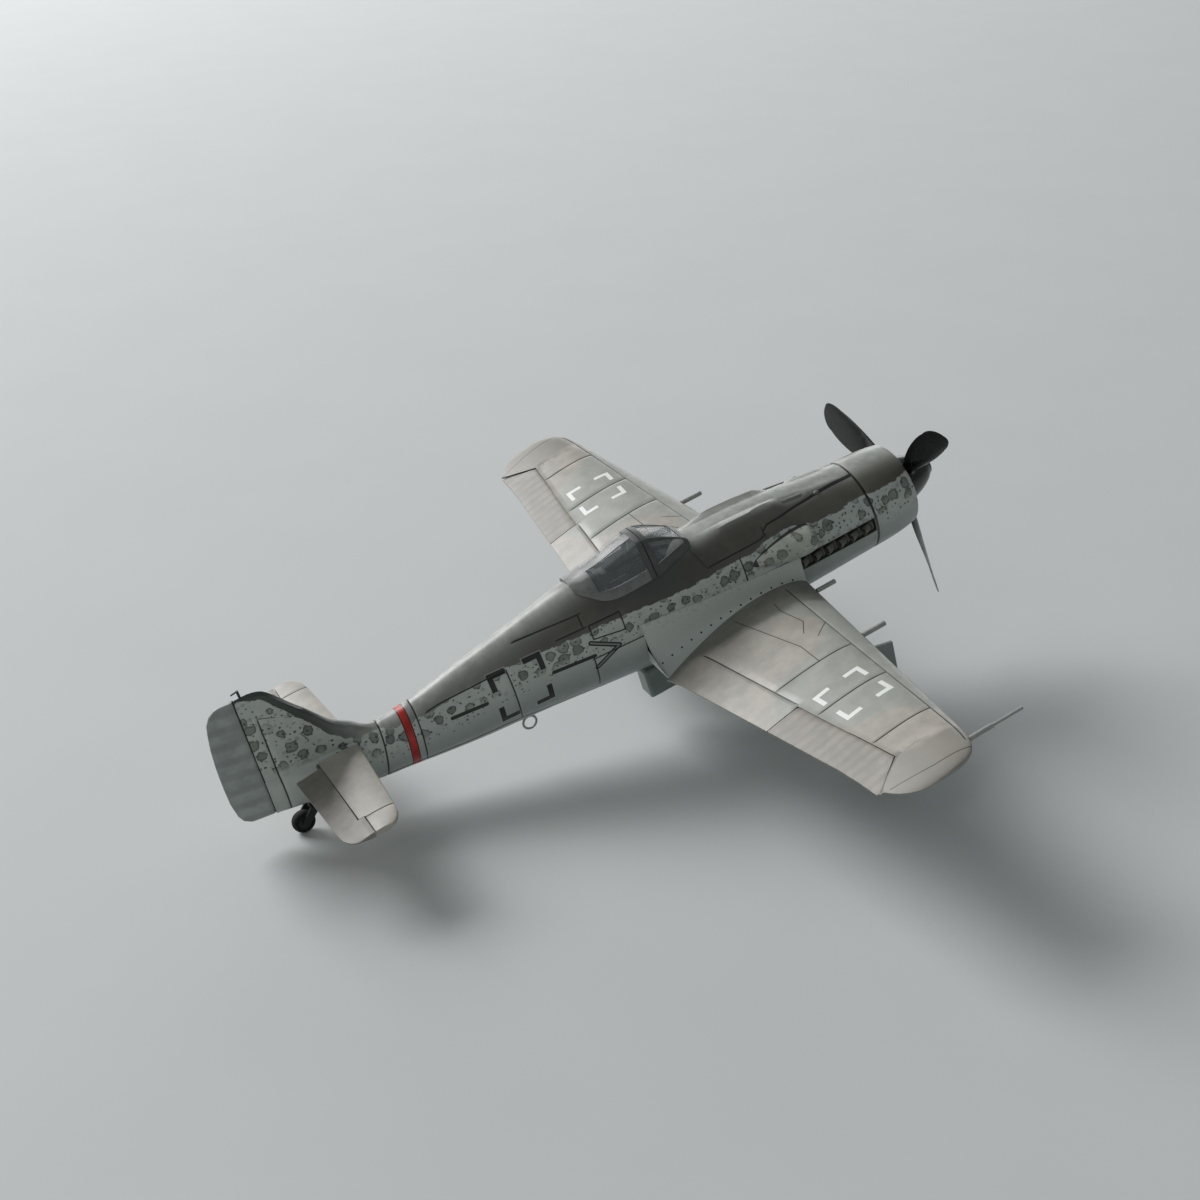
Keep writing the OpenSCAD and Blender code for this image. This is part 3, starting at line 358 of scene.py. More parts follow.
class Mat:
    def __init__(self, name):
        self.m = bpy.data.materials.new(name)
        self.m.use_nodes = True
        self.nt = self.m.node_tree
        self.nodes, self.links = self.nt.nodes, self.nt.links
        self.b = self.nodes["Principled BSDF"]
        self.tc = self.nodes.new("ShaderNodeTexCoord")
    def x(self, s): return X(self, s)
    def dot(self, vec, off):
        n = self.nodes.new("ShaderNodeVectorMath")
        n.operation = "DOT_PRODUCT"
        self.links.new(self.tc.outputs["Object"], n.inputs[0])
        n.inputs[1].default_value = tuple(float(q) / MM for q in vec)
        return X(self, n.outputs["Value"]) + float(off)
    def coords(self):
        """s, y, z in millimetres of the airframe"""
        x0, z0 = 125.5 - CX, 38.0
        s = self.dot((-CA, 0, -SA), CA * x0 + SA * z0)
        z = self.dot((-SA, 0, CA), SA * x0 - CA * z0)
        y = self.dot((0, 1, 0), 0.0)
        return s, y, z
    def vec(self, a, b, c=0.0):
        n = self.nodes.new("ShaderNodeCombineXYZ")
        for i, q in enumerate((a, b, c)):
            if isinstance(q, X):
                self.links.new(q.s, n.inputs[i])
            else:
                n.inputs[i].default_value = q
        return n.outputs[0]
    def noise(self, scale, detail=2.0, rough=0.55, v=None, dist=0.0, lac=2.0):
        n = self.nodes.new("ShaderNodeTexNoise")
        n.inputs["Scale"].default_value = scale
        n.inputs["Detail"].default_value = detail
        n.inputs["Roughness"].default_value = rough
        n.inputs["Distortion"].default_value = dist
        self.links.new(v if v is not None else self.mm(), n.inputs["Vector"])
        return X(self, n.outputs["Fac"])
    def mm(self):
        if not hasattr(self, "_mm"):
            n = self.nodes.new("ShaderNodeVectorMath")
            n.operation = "SCALE"
            n.inputs["Scale"].default_value = 1000.0
            self.links.new(self.tc.outputs["Object"], n.inputs[0])
            self._mm = n.outputs[0]
        return self._mm
    def voronoi(self, scale, v, rand=1.0, feature="F1", dims="2D"):
        n = self.nodes.new("ShaderNodeTexVoronoi")
        n.voronoi_dimensions = dims
        n.feature = feature
        n.inputs["Scale"].default_value = scale
        n.inputs["Randomness"].default_value = rand
        self.links.new(v, n.inputs["Vector"])
        d = X(self, n.outputs["Distance"])
        sp = self.nodes.new("ShaderNodeSeparateColor")
        self.links.new(n.outputs["Color"], sp.inputs[0])
        return d, X(self, sp.outputs[0]), X(self, sp.outputs[1])
    def attr(self, name="wash"):
        n = self.nodes.new("ShaderNodeAttribute")
        n.attribute_name = name
        return X(self, n.outputs["Fac"])
    def mix(self, fac, a, b, mode="MIX"):
        n = self.nodes.new("ShaderNodeMix")
        n.data_type = "RGBA"
        n.blend_type = mode
        if isinstance(fac, X):
            self.links.new(fac.s, n.inputs[0])
        else:
            n.inputs[0].default_value = fac
        for q, i in ((a, 6), (b, 7)):
            if isinstance(q, (tuple, list)):
                n.inputs[i].default_value = tuple(q) + (1.0,) * (4 - len(q))
            else:
                self.links.new(q, n.inputs[i])
        return n.outputs[2]
    def seg(self, P, a, b):
        """distance from the point socket P to the segment a-b (2D)"""
        d = (b[0] - a[0], b[1] - a[1])
        L2 = d[0] ** 2 + d[1] ** 2
        def vm(op, s0, c=None, sc=None, link1=None):
            n = self.nodes.new("ShaderNodeVectorMath")
            n.operation = op
            self.links.new(s0, n.inputs[0])
            if c is not None:
                n.inputs[1].default_value = c
            if link1 is not None:
                self.links.new(link1, n.inputs[1])
            if sc is not None:
                self.links.new(sc, n.inputs["Scale"])
            return n
        ap = vm("SUBTRACT", P, (a[0], a[1], 0)).outputs[0]
        t = X(self, vm("DOT_PRODUCT", ap, (d[0] / L2, d[1] / L2, 0)).outputs["Value"]).sat()
        cv = self.nodes.new("ShaderNodeCombineXYZ")
        cv.inputs[0].default_value, cv.inputs[1].default_value = d
        q = vm("SCALE", cv.outputs[0], sc=t.s).outputs[0]
        r = vm("SUBTRACT", ap, link1=q).outputs[0]
        return X(self, vm("LENGTH", r).outputs["Value"])
    def lines(self, P, segs):
        d = None
        for a, b in segs:
            q = self.seg(P, a, b)
            d = q if d is None else d.min(q)
        return d
    def finish(self, col, rough=0.45, height=None, bump=0.05, metallic=0.0, spec=0.5, coat=0.0):
        self.links.new(col, self.b.inputs["Base Color"]) if not isinstance(col, (tuple, list)) else setattr(self.b.inputs["Base Color"], "default_value", tuple(col) + (1.0,))
        if isinstance(rough, X):
            self.links.new(rough.s, self.b.inputs["Roughness"])
        else:
            self.b.inputs["Roughness"].default_value = rough
        self.b.inputs["Metallic"].default_value = metallic
        self.b.inputs["Specular IOR Level"].default_value = spec
        self.b.inputs["Coat Weight"].default_value = coat
        self.b.inputs["Coat Roughness"].default_value = 0.25
        if height is not None:
            n = self.nodes.new("ShaderNodeBump")
            n.inputs["Strength"].default_value = 1.0
            n.inputs["Distance"].default_value = bump * MM
            self.links.new(height.s, n.inputs["Height"])
            self.links.new(n.outputs[0], self.b.inputs["Normal"])
        return self.m


def srgb(h):
    h = h.lstrip("#")
    c = [int(h[i:i + 2], 16) / 255 for i in (0, 2, 4)]
    return tuple(q / 12.92 if q <= 0.04045 else ((q + 0.055) / 1.055) ** 2.4 for q in c)


def pw(x, pts):
    """piecewise linear function of a socket"""
    out = None
    for (a, va), (b, vb) in zip(pts[:-1], pts[1:]):
        q = x.ss(a, b, 0.0, vb - va, kind="LINEAR") if vb >= va else (x.ss(a, b, 0.0, va - vb, kind="LINEAR") * -1.0)
        out = q if out is None else out + q
    return out + pts[0][1]


def painted(name, base, dark=0.82, rough=0.45, scale=0.5, metallic=0.0, bump=0.03, spec=0.45, coat=0.0, edge=None, use_wash=False):
    """brushed or sprayed paint on small parts: two tones, fine grain, roughness that wanders"""
    m = Mat(name)
    n1 = m.noise(scale, 4.0, 0.6)
    n2 = m.noise(6.0, 3.0, 0.6)
    b = srgb(base) if isinstance(base, str) else base
    c = m.mix(n1.ss(0.35, 0.68), tuple(q * dark for q in b), b)
    if edge is not None:
        c = m.mix(n2.ss(0.62, 0.72) * 0.5, c, srgb(edge))
    h = n2
    if use_wash:
        w = m.attr()
        c = m.mix(w.ss(0.05, 0.8) * 0.9, c, (0.012, 0.012, 0.012))
    r = n1.ss(0.2, 0.8, rough - 0.07, rough + 0.09)
    return m.finish(c, r, h, bump, metallic, spec, coat)


# camouflage edge height along the side
EDGE = [(9, 5.1), (16.3, 5.1), (19, 5.5), (25, 5.3), (28.5, 5.7), (31.2, 6.2), (33.5, 7.1), (37.4, 7.1), (41.5, 6.2), (46, 6.3), (55.4, 6.0), (63, 6.5), (67, 6.8),
        (81, 7.0), (90, 7.25), (97.5, 7.0), (101, 6.3), (105.7, 5.9), (109.6, 6.3), (113, 6.8), (116.5, 7.2), (118.9, 8.4), (121, 10.9), (123, 14.4), (125, 17.4), (127.0, 20.4), (128.6, 22.3), (130.5, 23.2), (136, 23.4)]


def bracket_mask(u, v, R, w, arm):
    """four corner brackets of an open square; u and v are sockets already centred"""
    a, b = u.abs(), v.abs()
    big, small = a.max(b), a.min(b)
    return (big - R).abs().ss(w / 2 + 0.04, w / 2 - 0.04) * small.ss(R - arm - 0.04, R - arm + 0.04) * (big - (R + w / 2)).ss(0.04, -0.04)


def body_paint(name, kind="body"):
    m = Mat(name)
    s, y, z = m.coords()
    ya = y.abs()
    P = m.vec(s, z)
    # three noise fields: broad, fine grain and mid-size
    big = m.noise(0.09, 3.0, 0.5)
    grain = m.noise(5.0, 4.0, 0.65)
    mid = m.noise(0.55, 3.0, 0.6)
    side_hi, side_lo = srgb("#b9beb8"), srgb("#808b88")
    lower = m.mix((z + (mid - 0.5) * 2.0).ss(-5.2, 1.8), side_lo, side_hi)
    lower = m.mix(s.ss(60, 80) * z.ss(5.5, -2.0) * 0.45, lower, srgb("#75827f"))
    lower = m.mix(mid.ss(0.35, 0.7) * 0.25, lower, srgb("#989e99"))
    # large rounded blotches with a darker rim, two sizes, along the edge of the dark upper colour
    wob = m.noise(0.9, 2.0, 0.5)
    wob2 = m.noise(0.8, 2.0, 0.5, v=m.vec(s + 31.0, y, z))
    U = m.vec(s + (wob - 0.5) * 1.3, z + (wob2 - 0.5) * 1.3)
    seed = m.vec(s + ya * 0.0 + (wob - 0.5) * 0.7, z + (wob2 - 0.5) * 0.7)
    edge = pw(s, EDGE)
    edge_w = edge + (m.noise(0.45, 3.0, 0.6) - 0.5) * 1.7
    below = edge - z
    d1, r1, g1 = m.voronoi(0.36, U, 0.8)
    rad1 = r1 * 0.15 + 0.25
    fin_z = s.ss(113, 118) * (z - (s - 112.0) * 0.12).ss(5.4, 7.6)
    near = below.ss(4.4, 2.6).max(fin_z)
    blob = (d1 - rad1).ss(0.025, -0.025) * g1.ss(0.04, 0.08) * near
    rim = ((d1 - rad1 + 0.05).abs()).ss(0.08, 0.015) * g1.ss(0.04, 0.08) * near
    tone = g1.ss(0.3, 0.9)
    bl_c = m.mix(tone, srgb("#767b76"), srgb("#525652"))
    # small dark speckles
    d2, r2, g2 = m.voronoi(1.05, seed, 1.0)
    rad2 = r2 * 0.17 + 0.05
    keep2 = g2.ss(0.36, 0.44) * below.ss(6.6, 4.6).max(fin_z)
    speck = (d2 - rad2).ss(0.05, -0.03) * keep2
    d3, r3, g3 = m.voronoi(0.72, m.vec(s + 7.3 + (wob2 - 0.5), z + 2.1 + (wob - 0.5)), 1.0)
    rad3 = r3 * 0.15 + 0.13
    ring3 = (d3 - rad3).ss(0.035, -0.03) * g3.ss(0.42, 0.5) * below.ss(5.4, 3.6).max(fin_z)
    nobelly = z.ss(-4.2, -2.4).max(s.ss(112, 117) * z.ss(1.0, 3.0))
    lower = m.mix(ring3 * nobelly * 0.6, lower, srgb("#878d88"))
    lower = m.mix(blob * 0.8 * nobelly, lower, bl_c)
    lower = m.mix(rim * 0.62 * nobelly, lower, srgb("#444743"))
    lower = m.mix(speck * 0.9 * nobelly, lower, srgb("#3a3d3a"))
    # dark upper colour, with a slightly paler band over the spine that is partly the paint's own tone and partly a
    # painted reflection of the window
    top = m.mix(big.ss(0.38, 0.62), srgb("#4f4b46"), srgb("#5b5750"))
    top = m.mix(mid.ss(0.3, 0.75) * 0.35, top, srgb("#69655e"))
    top = m.mix(s.ss(45, 60) * s.ss(74, 62), top, srgb("#484947"))
    top = m.mix(s.ss(112, 118), top, srgb("#3c423f"))
    # paler band over the spine: partly paint tone, partly painted reflection
    crest_tone_and_sheen = (ya + (mid - 0.5) * 1.2).ss(5.2, 1.2) * s.ss(124, 112)
    top = m.mix(crest_tone_and_sheen * 0.8, top, m.mix(mid.ss(0.3, 0.7), srgb("#9b9d98"), srgb("#b1b3ad")))
    tm = (z - edge_w).ss(-0.10, 0.10)
    # paler halo at the join, left by the brush
    halo = (z - edge_w).abs().ss(0.8, 0.1)
    lower = m.mix(halo * 0.35, lower, srgb("#bfc3bd"))
    # painted light: the fillet's side tone is made paler where it curves up towards the wing
    if kind == "fillet":
        lower = m.mix(0.62, lower, srgb("#cfd2cd"))
    col = m.mix(tm, lower, top)
    if kind == "intake":
        pale = m.mix(mid.ss(0.3, 0.7), srgb("#b9bcb2"), srgb("#a5a9a2"))
        pale = m.mix(blob * 0.8, pale, m.mix(tone, srgb("#83827a"), srgb("#6d6f69")))
        pale = m.mix(rim * 0.5, pale, srgb("#55554e"))
        pale = m.mix(speck * 0.7, pale, srgb("#55564f"))
        col = pale
    rough = grain.ss(0.2, 0.8, 0.30, 0.42)
    if kind == "body":
        # tail band
        sb = s + z * 0.1 - 0.8
        band = (sb - 108.33).abs()
        col = m.mix(band.ss(0.80, 0.74), col, (0.015, 0.014, 0.014))
        red = m.mix(mid.ss(0.3, 0.7), srgb("#a5160f"), srgb("#c0241a"))
        col = m.mix(band.ss(0.60, 0.55), col, red)
        # side marking: corner brackets, bars and chevron
        black = srgb("#141515")
        clear_ = m.mix(0.0, srgb("#141515"), black)
        mark = bracket_mask(s - 88.3, z - 2.5, 4.55, 1.0, 2.9)
        keyline = bracket_mask(s - 88.3, z - 2.5, 4.55, 1.35, 3.15)
        bars = m.lines(P, [((74.6, 2.1), (82.3, 2.65)), ((94.9, 2.85), (101.2, 3.3))])
        chev = m.lines(P, [((69.9, 2.0), (74.6, 4.75)), ((69.9, 2.0), (74.7, -0.4))])
        col = m.mix(keyline * 0.55, col, srgb("#a9adaa"))
        col = m.mix(mark, col, black)
        col = m.mix((bars - 0.36).ss(0.04, -0.04), col, black)
        col = m.mix((chev - 0.46).ss(0.04, -0.04), col, black)
        col = m.mix((chev - 0.16).ss(0.03, -0.03) * 0.75, col, srgb("#8d938f"))
        # thin inked lines that don't follow the panel grid
        ink = m.lines(P, [((50.5, 7.5), (52.0, 11.4)), ((127.6, 18.1), (130.2, 19.3)), ((125.0, 13.2), (124.2, 11.4))])
        col = m.mix((ink - 0.07).ss(0.05, -0.05) * 0.9, col, (0.012, 0.012, 0.012))
        # dirt around the exhausts
        soot = (z - 0.0).abs().ss(3.0, 0.6) * s.ss(17, 20) * s.ss(42, 33)
        col = m.mix(soot * mid.ss(0.25, 0.7) * 0.35, col, srgb("#3b3833"))
        # the sunken exhaust bay is painted near-black and made rougher
        rec = (z + 0.05).abs().ss(1.5, 1.3) * s.ss(17.7, 18.0) * s.ss(34.0, 33.7)
        col = m.mix(rec * 0.93, col, m.mix(grain.ss(0.3, 0.7), srgb("#121211"), srgb("#222220")))
        rough = rough + rec * 0.25
    w = m.attr().ss(0.08, 0.42)
    col = m.mix(w * 0.95, col, (0.012, 0.012, 0.012))
    h = grain * 0.5 + mid * 0.5
    return m.finish(col, rough, h, 0.035, 0.0, 0.5, 0.12)


def wing_paint(name, part="wing"):
    m = Mat(name)
    s, y, z = m.coords()
    ya = y.abs()
    P = m.vec(s, ya)
    mid = m.noise(0.30, 4.0, 0.6)
    grain = m.noise(4.5, 4.0, 0.65)
    warp = (m.noise(0.12, 2.0, 0.5) - 0.5)
    warm = m.mix(mid.ss(0.32, 0.7), srgb("#a09a92"), srgb("#b1aaa1"))
    cool = m.mix(mid.ss(0.32, 0.7), srgb("#979992"), srgb("#a5a79f"))
    root_shade = m.mix(mid.ss(0.32, 0.7), srgb("#706f69"), srgb("#7e7c75"))
    sw, yw = s + warp * 5.0, ya + warp * 5.0
    # soft-edged patches: leading edge and outer panel cool, inner bay and tip warm; the dark wedge at the root is
    # painted shade beside the fuselage
    d_bay = ((sw - 52.5) * (sw - 52.5) * 0.55 + (yw - 24.0) * (yw - 24.0)).pow(0.5)
    coolmask = (yw - 9.0 - (sw - 38.0) * 0.55).ss(0.0, 1.6) * (d_bay - 8.6).ss(-0.6, 0.6) * (yw + (sw - 45.0) * 0.75 - 57.0).ss(0.9, -0.9)
    coolmask = coolmask * (yw - 31.0 + (54.0 - sw) * 1.6).ss(-0.8, 0.8)
    # painted shade: a darker wedge on the wing next to the fuselage
    root_shade_mask = (yw - 12.6 - (66.0 - sw) * 0.16).ss(1.2, -1.2)
    col = m.mix(coolmask * 0.95, warm, cool)
    col = m.mix(root_shade_mask * 0.95, col, root_shade)
    # faint brushed streaks along the chord
    st = m.noise(1.0, 3.0, 0.6, v=m.vec(s * 0.12, ya * 1.5))
    col = m.mix(st.ss(0.45, 0.75) * 0.12, col, srgb("#bdb7af"))
    tipm = (yw - 63.5 + (sw - 50.0) * 0.35).ss(-0.9, 0.9)
    col = m.mix(tipm * 0.75, col, srgb("#8b867e"))
    if part == "wing":
        white = srgb("#eeeeea")
        # marking, turned to lie along the panel
        u = (s - 48.1) + (ya - 45.3) * 0.07
        v = (ya - 45.3) - (s - 48.1) * 0.07
        mark = bracket_mask(u, v, 4.35, 0.85, 2.75)
        col = m.mix(mark, col, white)
        ink = m.lines(P, [((43.4, 70.6), (50.0, 70.1)), ((50.0, 70.1), (57.2, 68.6)), ((43.0, 13.2), (43.4, 15.9)), ((43.4, 15.9), (42.5, 21.8)), ((42.5, 21.8), (44.4, 25.0)), ((39.9, 24.8), (43.2, 27.6)), ((50.2, 11.2), (46.8, 27.8)), ((46.8, 27.8), (47.0, 33.8))])
        col = m.mix((ink - 0.08).ss(0.05, -0.04) * 0.9, col, (0.014, 0.013, 0.012))
        ring = m.seg(P, (55.9, 41.2), (55.9, 41.2001))
        col = m.mix((ring - 0.5).ss(0.05, -0.05), col, srgb("#6a665f"))
    w = m.attr().ss(0.08, 0.42)
    col = m.mix(w * 0.9, col, (0.014, 0.013, 0.012))
    rough = grain.ss(0.2, 0.8, 0.34, 0.46)
    return m.finish(col, rough, grain * 0.6 + mid * 0.4, 0.03, 0.0, 0.45, 0.06)


def tail_paint(name, base_a, base_b, rib_shade=0.0, rib_axis="y", step=2.3, off=0.0):
    m = Mat(name)
    s, y, z = m.coords()
    mid = m.noise(0.35, 4.0, 0.6)
    grain = m.noise(4.5, 4.0, 0.65)
    col = m.mix(mid.ss(0.32, 0.7), srgb(base_a), srgb(base_b))
    q = y.abs() if rib_axis == "y" else z + s * -0.12
    # darker bands repeating at the rib spacing: painted shade of the scallops between the fabric ribs
    rib_shade_wave = ((q + off) * (2 * math.pi / step)).sin() * 0.5 + 0.5
    if rib_shade:
        col = m.mix(rib_shade_wave.ss(0.25, 1.0) * rib_shade, col, tuple(c * 0.72 for c in srgb(base_a)))
    w = m.attr().ss(0.08, 0.42)
    col = m.mix(w * 0.9, col, (0.014, 0.013, 0.012))
    rough = grain.ss(0.2, 0.8, 0.36, 0.48)
    return m.finish(col, rough, grain * 0.6 + mid * 0.4, 0.03, 0.0, 0.45, 0.05)


def glass(name, tint=(0.34, 0.37, 0.38)):
    m = Mat(name)
    n = m.noise(0.25, 3.0, 0.55)
    c = m.mix(n.ss(0.3, 0.7), tint, tuple(q * 1.25 for q in tint))
    m.b.inputs["Alpha"].default_value = 0.2
    m.b.inputs["IOR"].default_value = 1.5
    return m.finish(c, 0.14, None, 0.0, 0.0, 0.7, 0.0)


# ---------------------------------------------------------------- materials
M_BODY = body_paint("paint_body", "body")
M_COWL = body_paint("paint_cowl", "cowl")
M_SCOOP = body_paint("paint_scoop", "intake")
M_WING = wing_paint("paint_upper_wing", "wing")
M_AIL = tail_paint("paint_aileron", "#8a847c", "#989188", 0.40, "y", 2.05, -40.4)
M_TAIL = tail_paint("paint_tailplane", "#a6a199", "#b5aea5")
M_ELEV = tail_paint("paint_elevator", "#7d7872", "#8c867e", 0.16, "y", 2.4)
M_RUD = tail_paint("paint_rudder", "#8d938f", "#a1a6a1", 0.42, "z", 3.0)
M_FIL = body_paint("paint_fillet", "fillet")
M_UNDER = tail_paint("paint_underside", "#7f8a89", "#8e9896")
M_GLASS = glass("clear_canopy")
M_FRAME = painted("paint_canopy_frame", "#565957", 0.8, 0.36, edge="#8b8d8b")
M_HOOD = painted("paint_hood_top", "#7b7d7a", 0.82, 0.30, edge="#a5a7a3", coat=0.2)
M_BLACK = painted("paint_black_gloss", "#151516", 0.6, 0.24, bump=0.02, spec=0.5, coat=0.15)
M_BLADE = painted("paint_blade", "#131314", 0.6, 0.30, bump=0.02, spec=0.5, coat=0.1)
M_EXH = painted("metal_exhaust", "#6b6b64", 0.55, 0.5, 1.4, 0.25, 0.08, edge="#9a9a90")
M_GUN = painted("metal_gun", "#a4a5a1", 0.82, 0.42, 1.2, 0.15, 0.03, edge="#c2c3bf")
M_DARKGUN = painted("metal_gun_dark", "#8b8b87", 0.8, 0.4, 1.2, 0.2, 0.03, edge="#a9a9a5")
M_STEEL = painted("metal_shaft", "#8a8d90", 0.8, 0.3, 1.0, 0.85, 0.02)
M_HINGE = painted("metal_hinge", "#4c4e4e", 0.7, 0.42, 1.0, 0.4, 0.03)
M_COCK = painted("paint_cockpit", "#3a3c3b", 0.75, 0.6, 0.8, edge="#5f615f")
M_SEAT = painted("paint_seat", "#47494a", 0.75, 0.55, 0.8, edge="#6b6d6c")
M_PANEL = painted("paint_panel", "#242526", 0.7, 0.5, 1.0, edge="#8b8d8c")
M_STICK = painted("paint_stick", "#1c1c1d", 0.7, 0.5)
M_ARM = painted("paint_armour", "#3e4141", 0.75, 0.5, 0.8, edge="#676a69")
M_RAD = painted("paint_radiator", "#262625", 0.5, 0.62, 3.0, bump=0.2)
M_BULK = painted("paint_bulkhead", "#3a3a39", 0.7, 0.6)
M_AER = painted("paint_aerial", "#2f3432", 0.7, 0.42)
M_LOOP = painted("paint_loop", "#a7aaa5", 0.85, 0.4)
M_RACK = painted("paint_rack", "#77827f", 0.86, 0.42, 0.45, edge="#b5bcb6", use_wash=True)
M_LEG = painted("paint_leg", "#6f7472", 0.8, 0.42, 0.7, edge="#9da19f")
M_DOOR = painted("paint_gear_door", "#87908e", 0.88, 0.44, 0.4)
M_HUB = painted("paint_hub", "#2c2f2f", 0.7, 0.42, 0.9, edge="#5c605f")
M_TYRE = painted("rubber_tyre", "#1d1d1d", 0.75, 0.72, 1.6, bump=0.12, spec=0.3)
M_YOKE = painted("paint_yoke", "#222525", 0.7, 0.4, 0.9, edge="#565a59")
M_DOT = painted("paint_fastener", "#1b1b1b", 0.7, 0.5)
# pale patch meant as a painted gloss highlight on the spinner; no piece uses it
M_HIGHLIGHT_PATCH = painted("painted_highlight_patch", "#c9ccc8", 0.9, 0.35)
M_EYE = painted("paint_light_bar", "#c6c9c5", 0.9, 0.35)

# ---------------------------------------------------------------- fuselage halves
def skew(s):
    return np.interp(s, [99, 105.5, 109.5, 113, 118, 124], [0, 0.10, 0.10, 0.20, 0.12, 0.0])


ZA = [(17, 8.05), (25, 8.6), (31, 8.9), (37.7, 8.9), (38.9, 7.5), (51, 7.5), (60, 8.6), (72, 10.4), (87, 10.4), (98, 8.7), (108, 6.9), (118, 6.3), (133, 7.2)]
ZA2 = [(17, 5.2), (60, 6.8), (67, 7.9), (81, 7.9), (90, 7.1), (102, 6.6), (108, 5.8), (118, 5.2), (133, 6.0)]
ZH = [(17, 3.6), (60, 4.3), (68, 4.3), (74, 5.2), (82, 4.6), (133, 4.0)]
ZB = [(17, 1.25), (34, 1.30), (44.4, 0.7), (54, 1.3), (64, 1.35), (75.5, 1.5), (100, 1.4), (120, 2.2), (133, 3.2)]
ZC = [(17, -1.45), (34, -1.35), (55, -4.0), (72.4, -6.3), (76.2, -5.9), (83.6, -5.0), (89.8, -3.9), (100, -3.3), (113, -1.6), (120, -0.6), (133, 1.5)]


def tab(T, s):
    T = np.array(T, float)
    return np.interp(s, T[:, 0], T[:, 1])


def fuselage(side, name, node):
    cols = [18.1, 33.85, 38.3, 44.4, 68.0, 73.85, 74.85, 89.75, 106.4, 112.7, 130.7]
    base = list(np.arange(17.5, 132.0, 0.85)) + [132.4]
    S0, ci = with_feats(base, cols, 0.18, 0.42)
    S0[0] = 17.5
    s = S0[:, None]
    a0 = sill(s)
    aj = np.where(s < 96, a0 + 8.0 + 4.0 * (1 - smooth(48, 52, s) * (1 - smooth(73, 76, s))), 0.0)
    aj = np.where(s >= 96, lerp(12.0, 30.0, smooth(96, 108, s)), aj)
    n1 = 20
    v = np.linspace(0, 1, n1)[None, :] ** 1.35
    blocks = [lerp(a0, aj, v)]
    feats_i = []
    cnt = n1
    prev = aj
    w = 0.18
    lim = aj + 2.0
    for T, n in ((ZA, 5), (ZA2, 5), (ZH, 5), (ZB, 5), (ZC, 7)):
        z = tab(T, s)
        hi_, mid_, lo_ = fus_angle(s, z + w), fus_angle(s, z), fus_angle(s, z - w)
        mid_ = np.maximum(mid_, lim + 1.2)
        hi_ = np.clip(hi_, lim + 0.5, mid_ - 0.4)
        lo_ = np.maximum(lo_, mid_ + 0.4)
        t = np.linspace(0, 1, n + 1)[None, 1:-1]
        blocks.append(lerp(prev, hi_, t))
        cnt += n - 1
        blocks += [hi_, mid_, lo_]
        feats_i.append(cnt + 1)
        cnt += 3
        prev = lo_
        lim = lo_ + 0.5
    t = np.linspace(0, 1, 13)[None, 1:]
    blocks.append(lerp(prev, 180.0, t))
    A = np.concatenate([np.broadcast_to(b, (len(S0), b.shape[1])) for b in blocks], 1)
    N = A.shape[1]

    def points(ss, inset):
        x, z = fus(ss, A, inset)
        top = at(FUS, ss, 2)
        rise = np.where(ss > FIN_ROOT, np.maximum(0, at(FIN, ss, 1) - top), 0.0)
        blend = smooth(0, 2.5, rise)
        xj, zj = fus(ss, A[:, n1 - 1:n1], inset)
        zt = top + rise - (min(inset, 0.6) if inset else 0.0)
        vv = np.linspace(0, 1, n1)[None, :]
        zf = lerp(zt, zj, vv ** 1.15)
        cap = np.sqrt(np.maximum(0, 1 - (1 - c01((zt - zf) / 0.8)) ** 2))
        xf = np.minimum(xj, fin_half(ss, zf) * cap)
        if inset:
            xf = np.zeros_like(xf)
        X2, Z2 = x.copy(), z.copy()
        X2[:, :n1] = lerp(x[:, :n1], xf, blend)
        Z2[:, :n1] = lerp(z[:, :n1], zf, blend)
        return X2, Z2

    x, z = points(np.broadcast_to(s, (len(S0), 1)), 0.0)
    k = skew(S0)[:, None]
    ss = s + k * (8.0 - z)
    # the raised cheeks over the gun breeches
    up = (A < 60)
    hump = 0.85 * smooth(31.5, 35.0, ss) * (1 - smooth(43, 50.8, ss)) * np.exp(-((x - 3.2) / 1.2) ** 4) * up
    hump = hump + 0.28 * smooth(18.5, 22, ss) * (1 - smooth(29, 33, ss)) * np.exp(-((x - 2.9) / 0.8) ** 2) * up
    hump = hump - 0.40 * smooth(27.6, 28.3, ss) * (1 - smooth(31.6, 32.6, ss)) * np.exp(-((x - 2.9) / 0.45) ** 2) * up
    P = np.stack([-ss, side * x, z], -1)
    Nn = normals(P)
    cen = np.stack([np.zeros_like(x), side * x, z - 2.0], -1)
    sg = np.sign((Nn * cen).sum(-1).mean())
    Nn = Nn * sg
    wash = np.zeros((len(S0), N))

    def in_rng(q, a, b):
        return ((q >= a) & (q <= b)).astype(float)
    iA, iA2, iH, iB, iC = feats_i
    wash[:, iA] = np.maximum(in_rng(S0, 17.6, 50.6), in_rng(S0, 74.6, 86.9))
    wash[:, iA2] = np.maximum(in_rng(S0, 67.9, 80.4) * (1 - in_rng(S0, 74.0, 74.6)), in_rng(S0, 89.8, 104.8))
    wash[:, iH] = in_rng(S0, 67.9, 74.0)
    wash[:, iB] = in_rng(S0, 44.3, 75.3)
    wash[:, iC] = in_rng(S0, 72.4, 112.6) * 0.8
    wash[0] = 1.0
    zr = {38.3: [(7.4, 9.0)], 44.4: [(0.6, 6.4)], 68.0: [(4.2, 7.9)], 73.85: [(5.2, 8.0)], 74.85: [(-4.6, 2.1), (8.0, 10.5)], 89.75: [(-3.9, 7.1)],
          106.4: [(-9, 9)], 112.7: [(-9, 9)], 130.7: [(0.6, 18.8)]}
    for c, i in zip(cols, ci):
        for lo_, hi_ in zr.get(c, []):
            wash[i] = np.maximum(wash[i], in_rng(z[i], lo_, hi_))
    disp = hump - 0.11 * wash
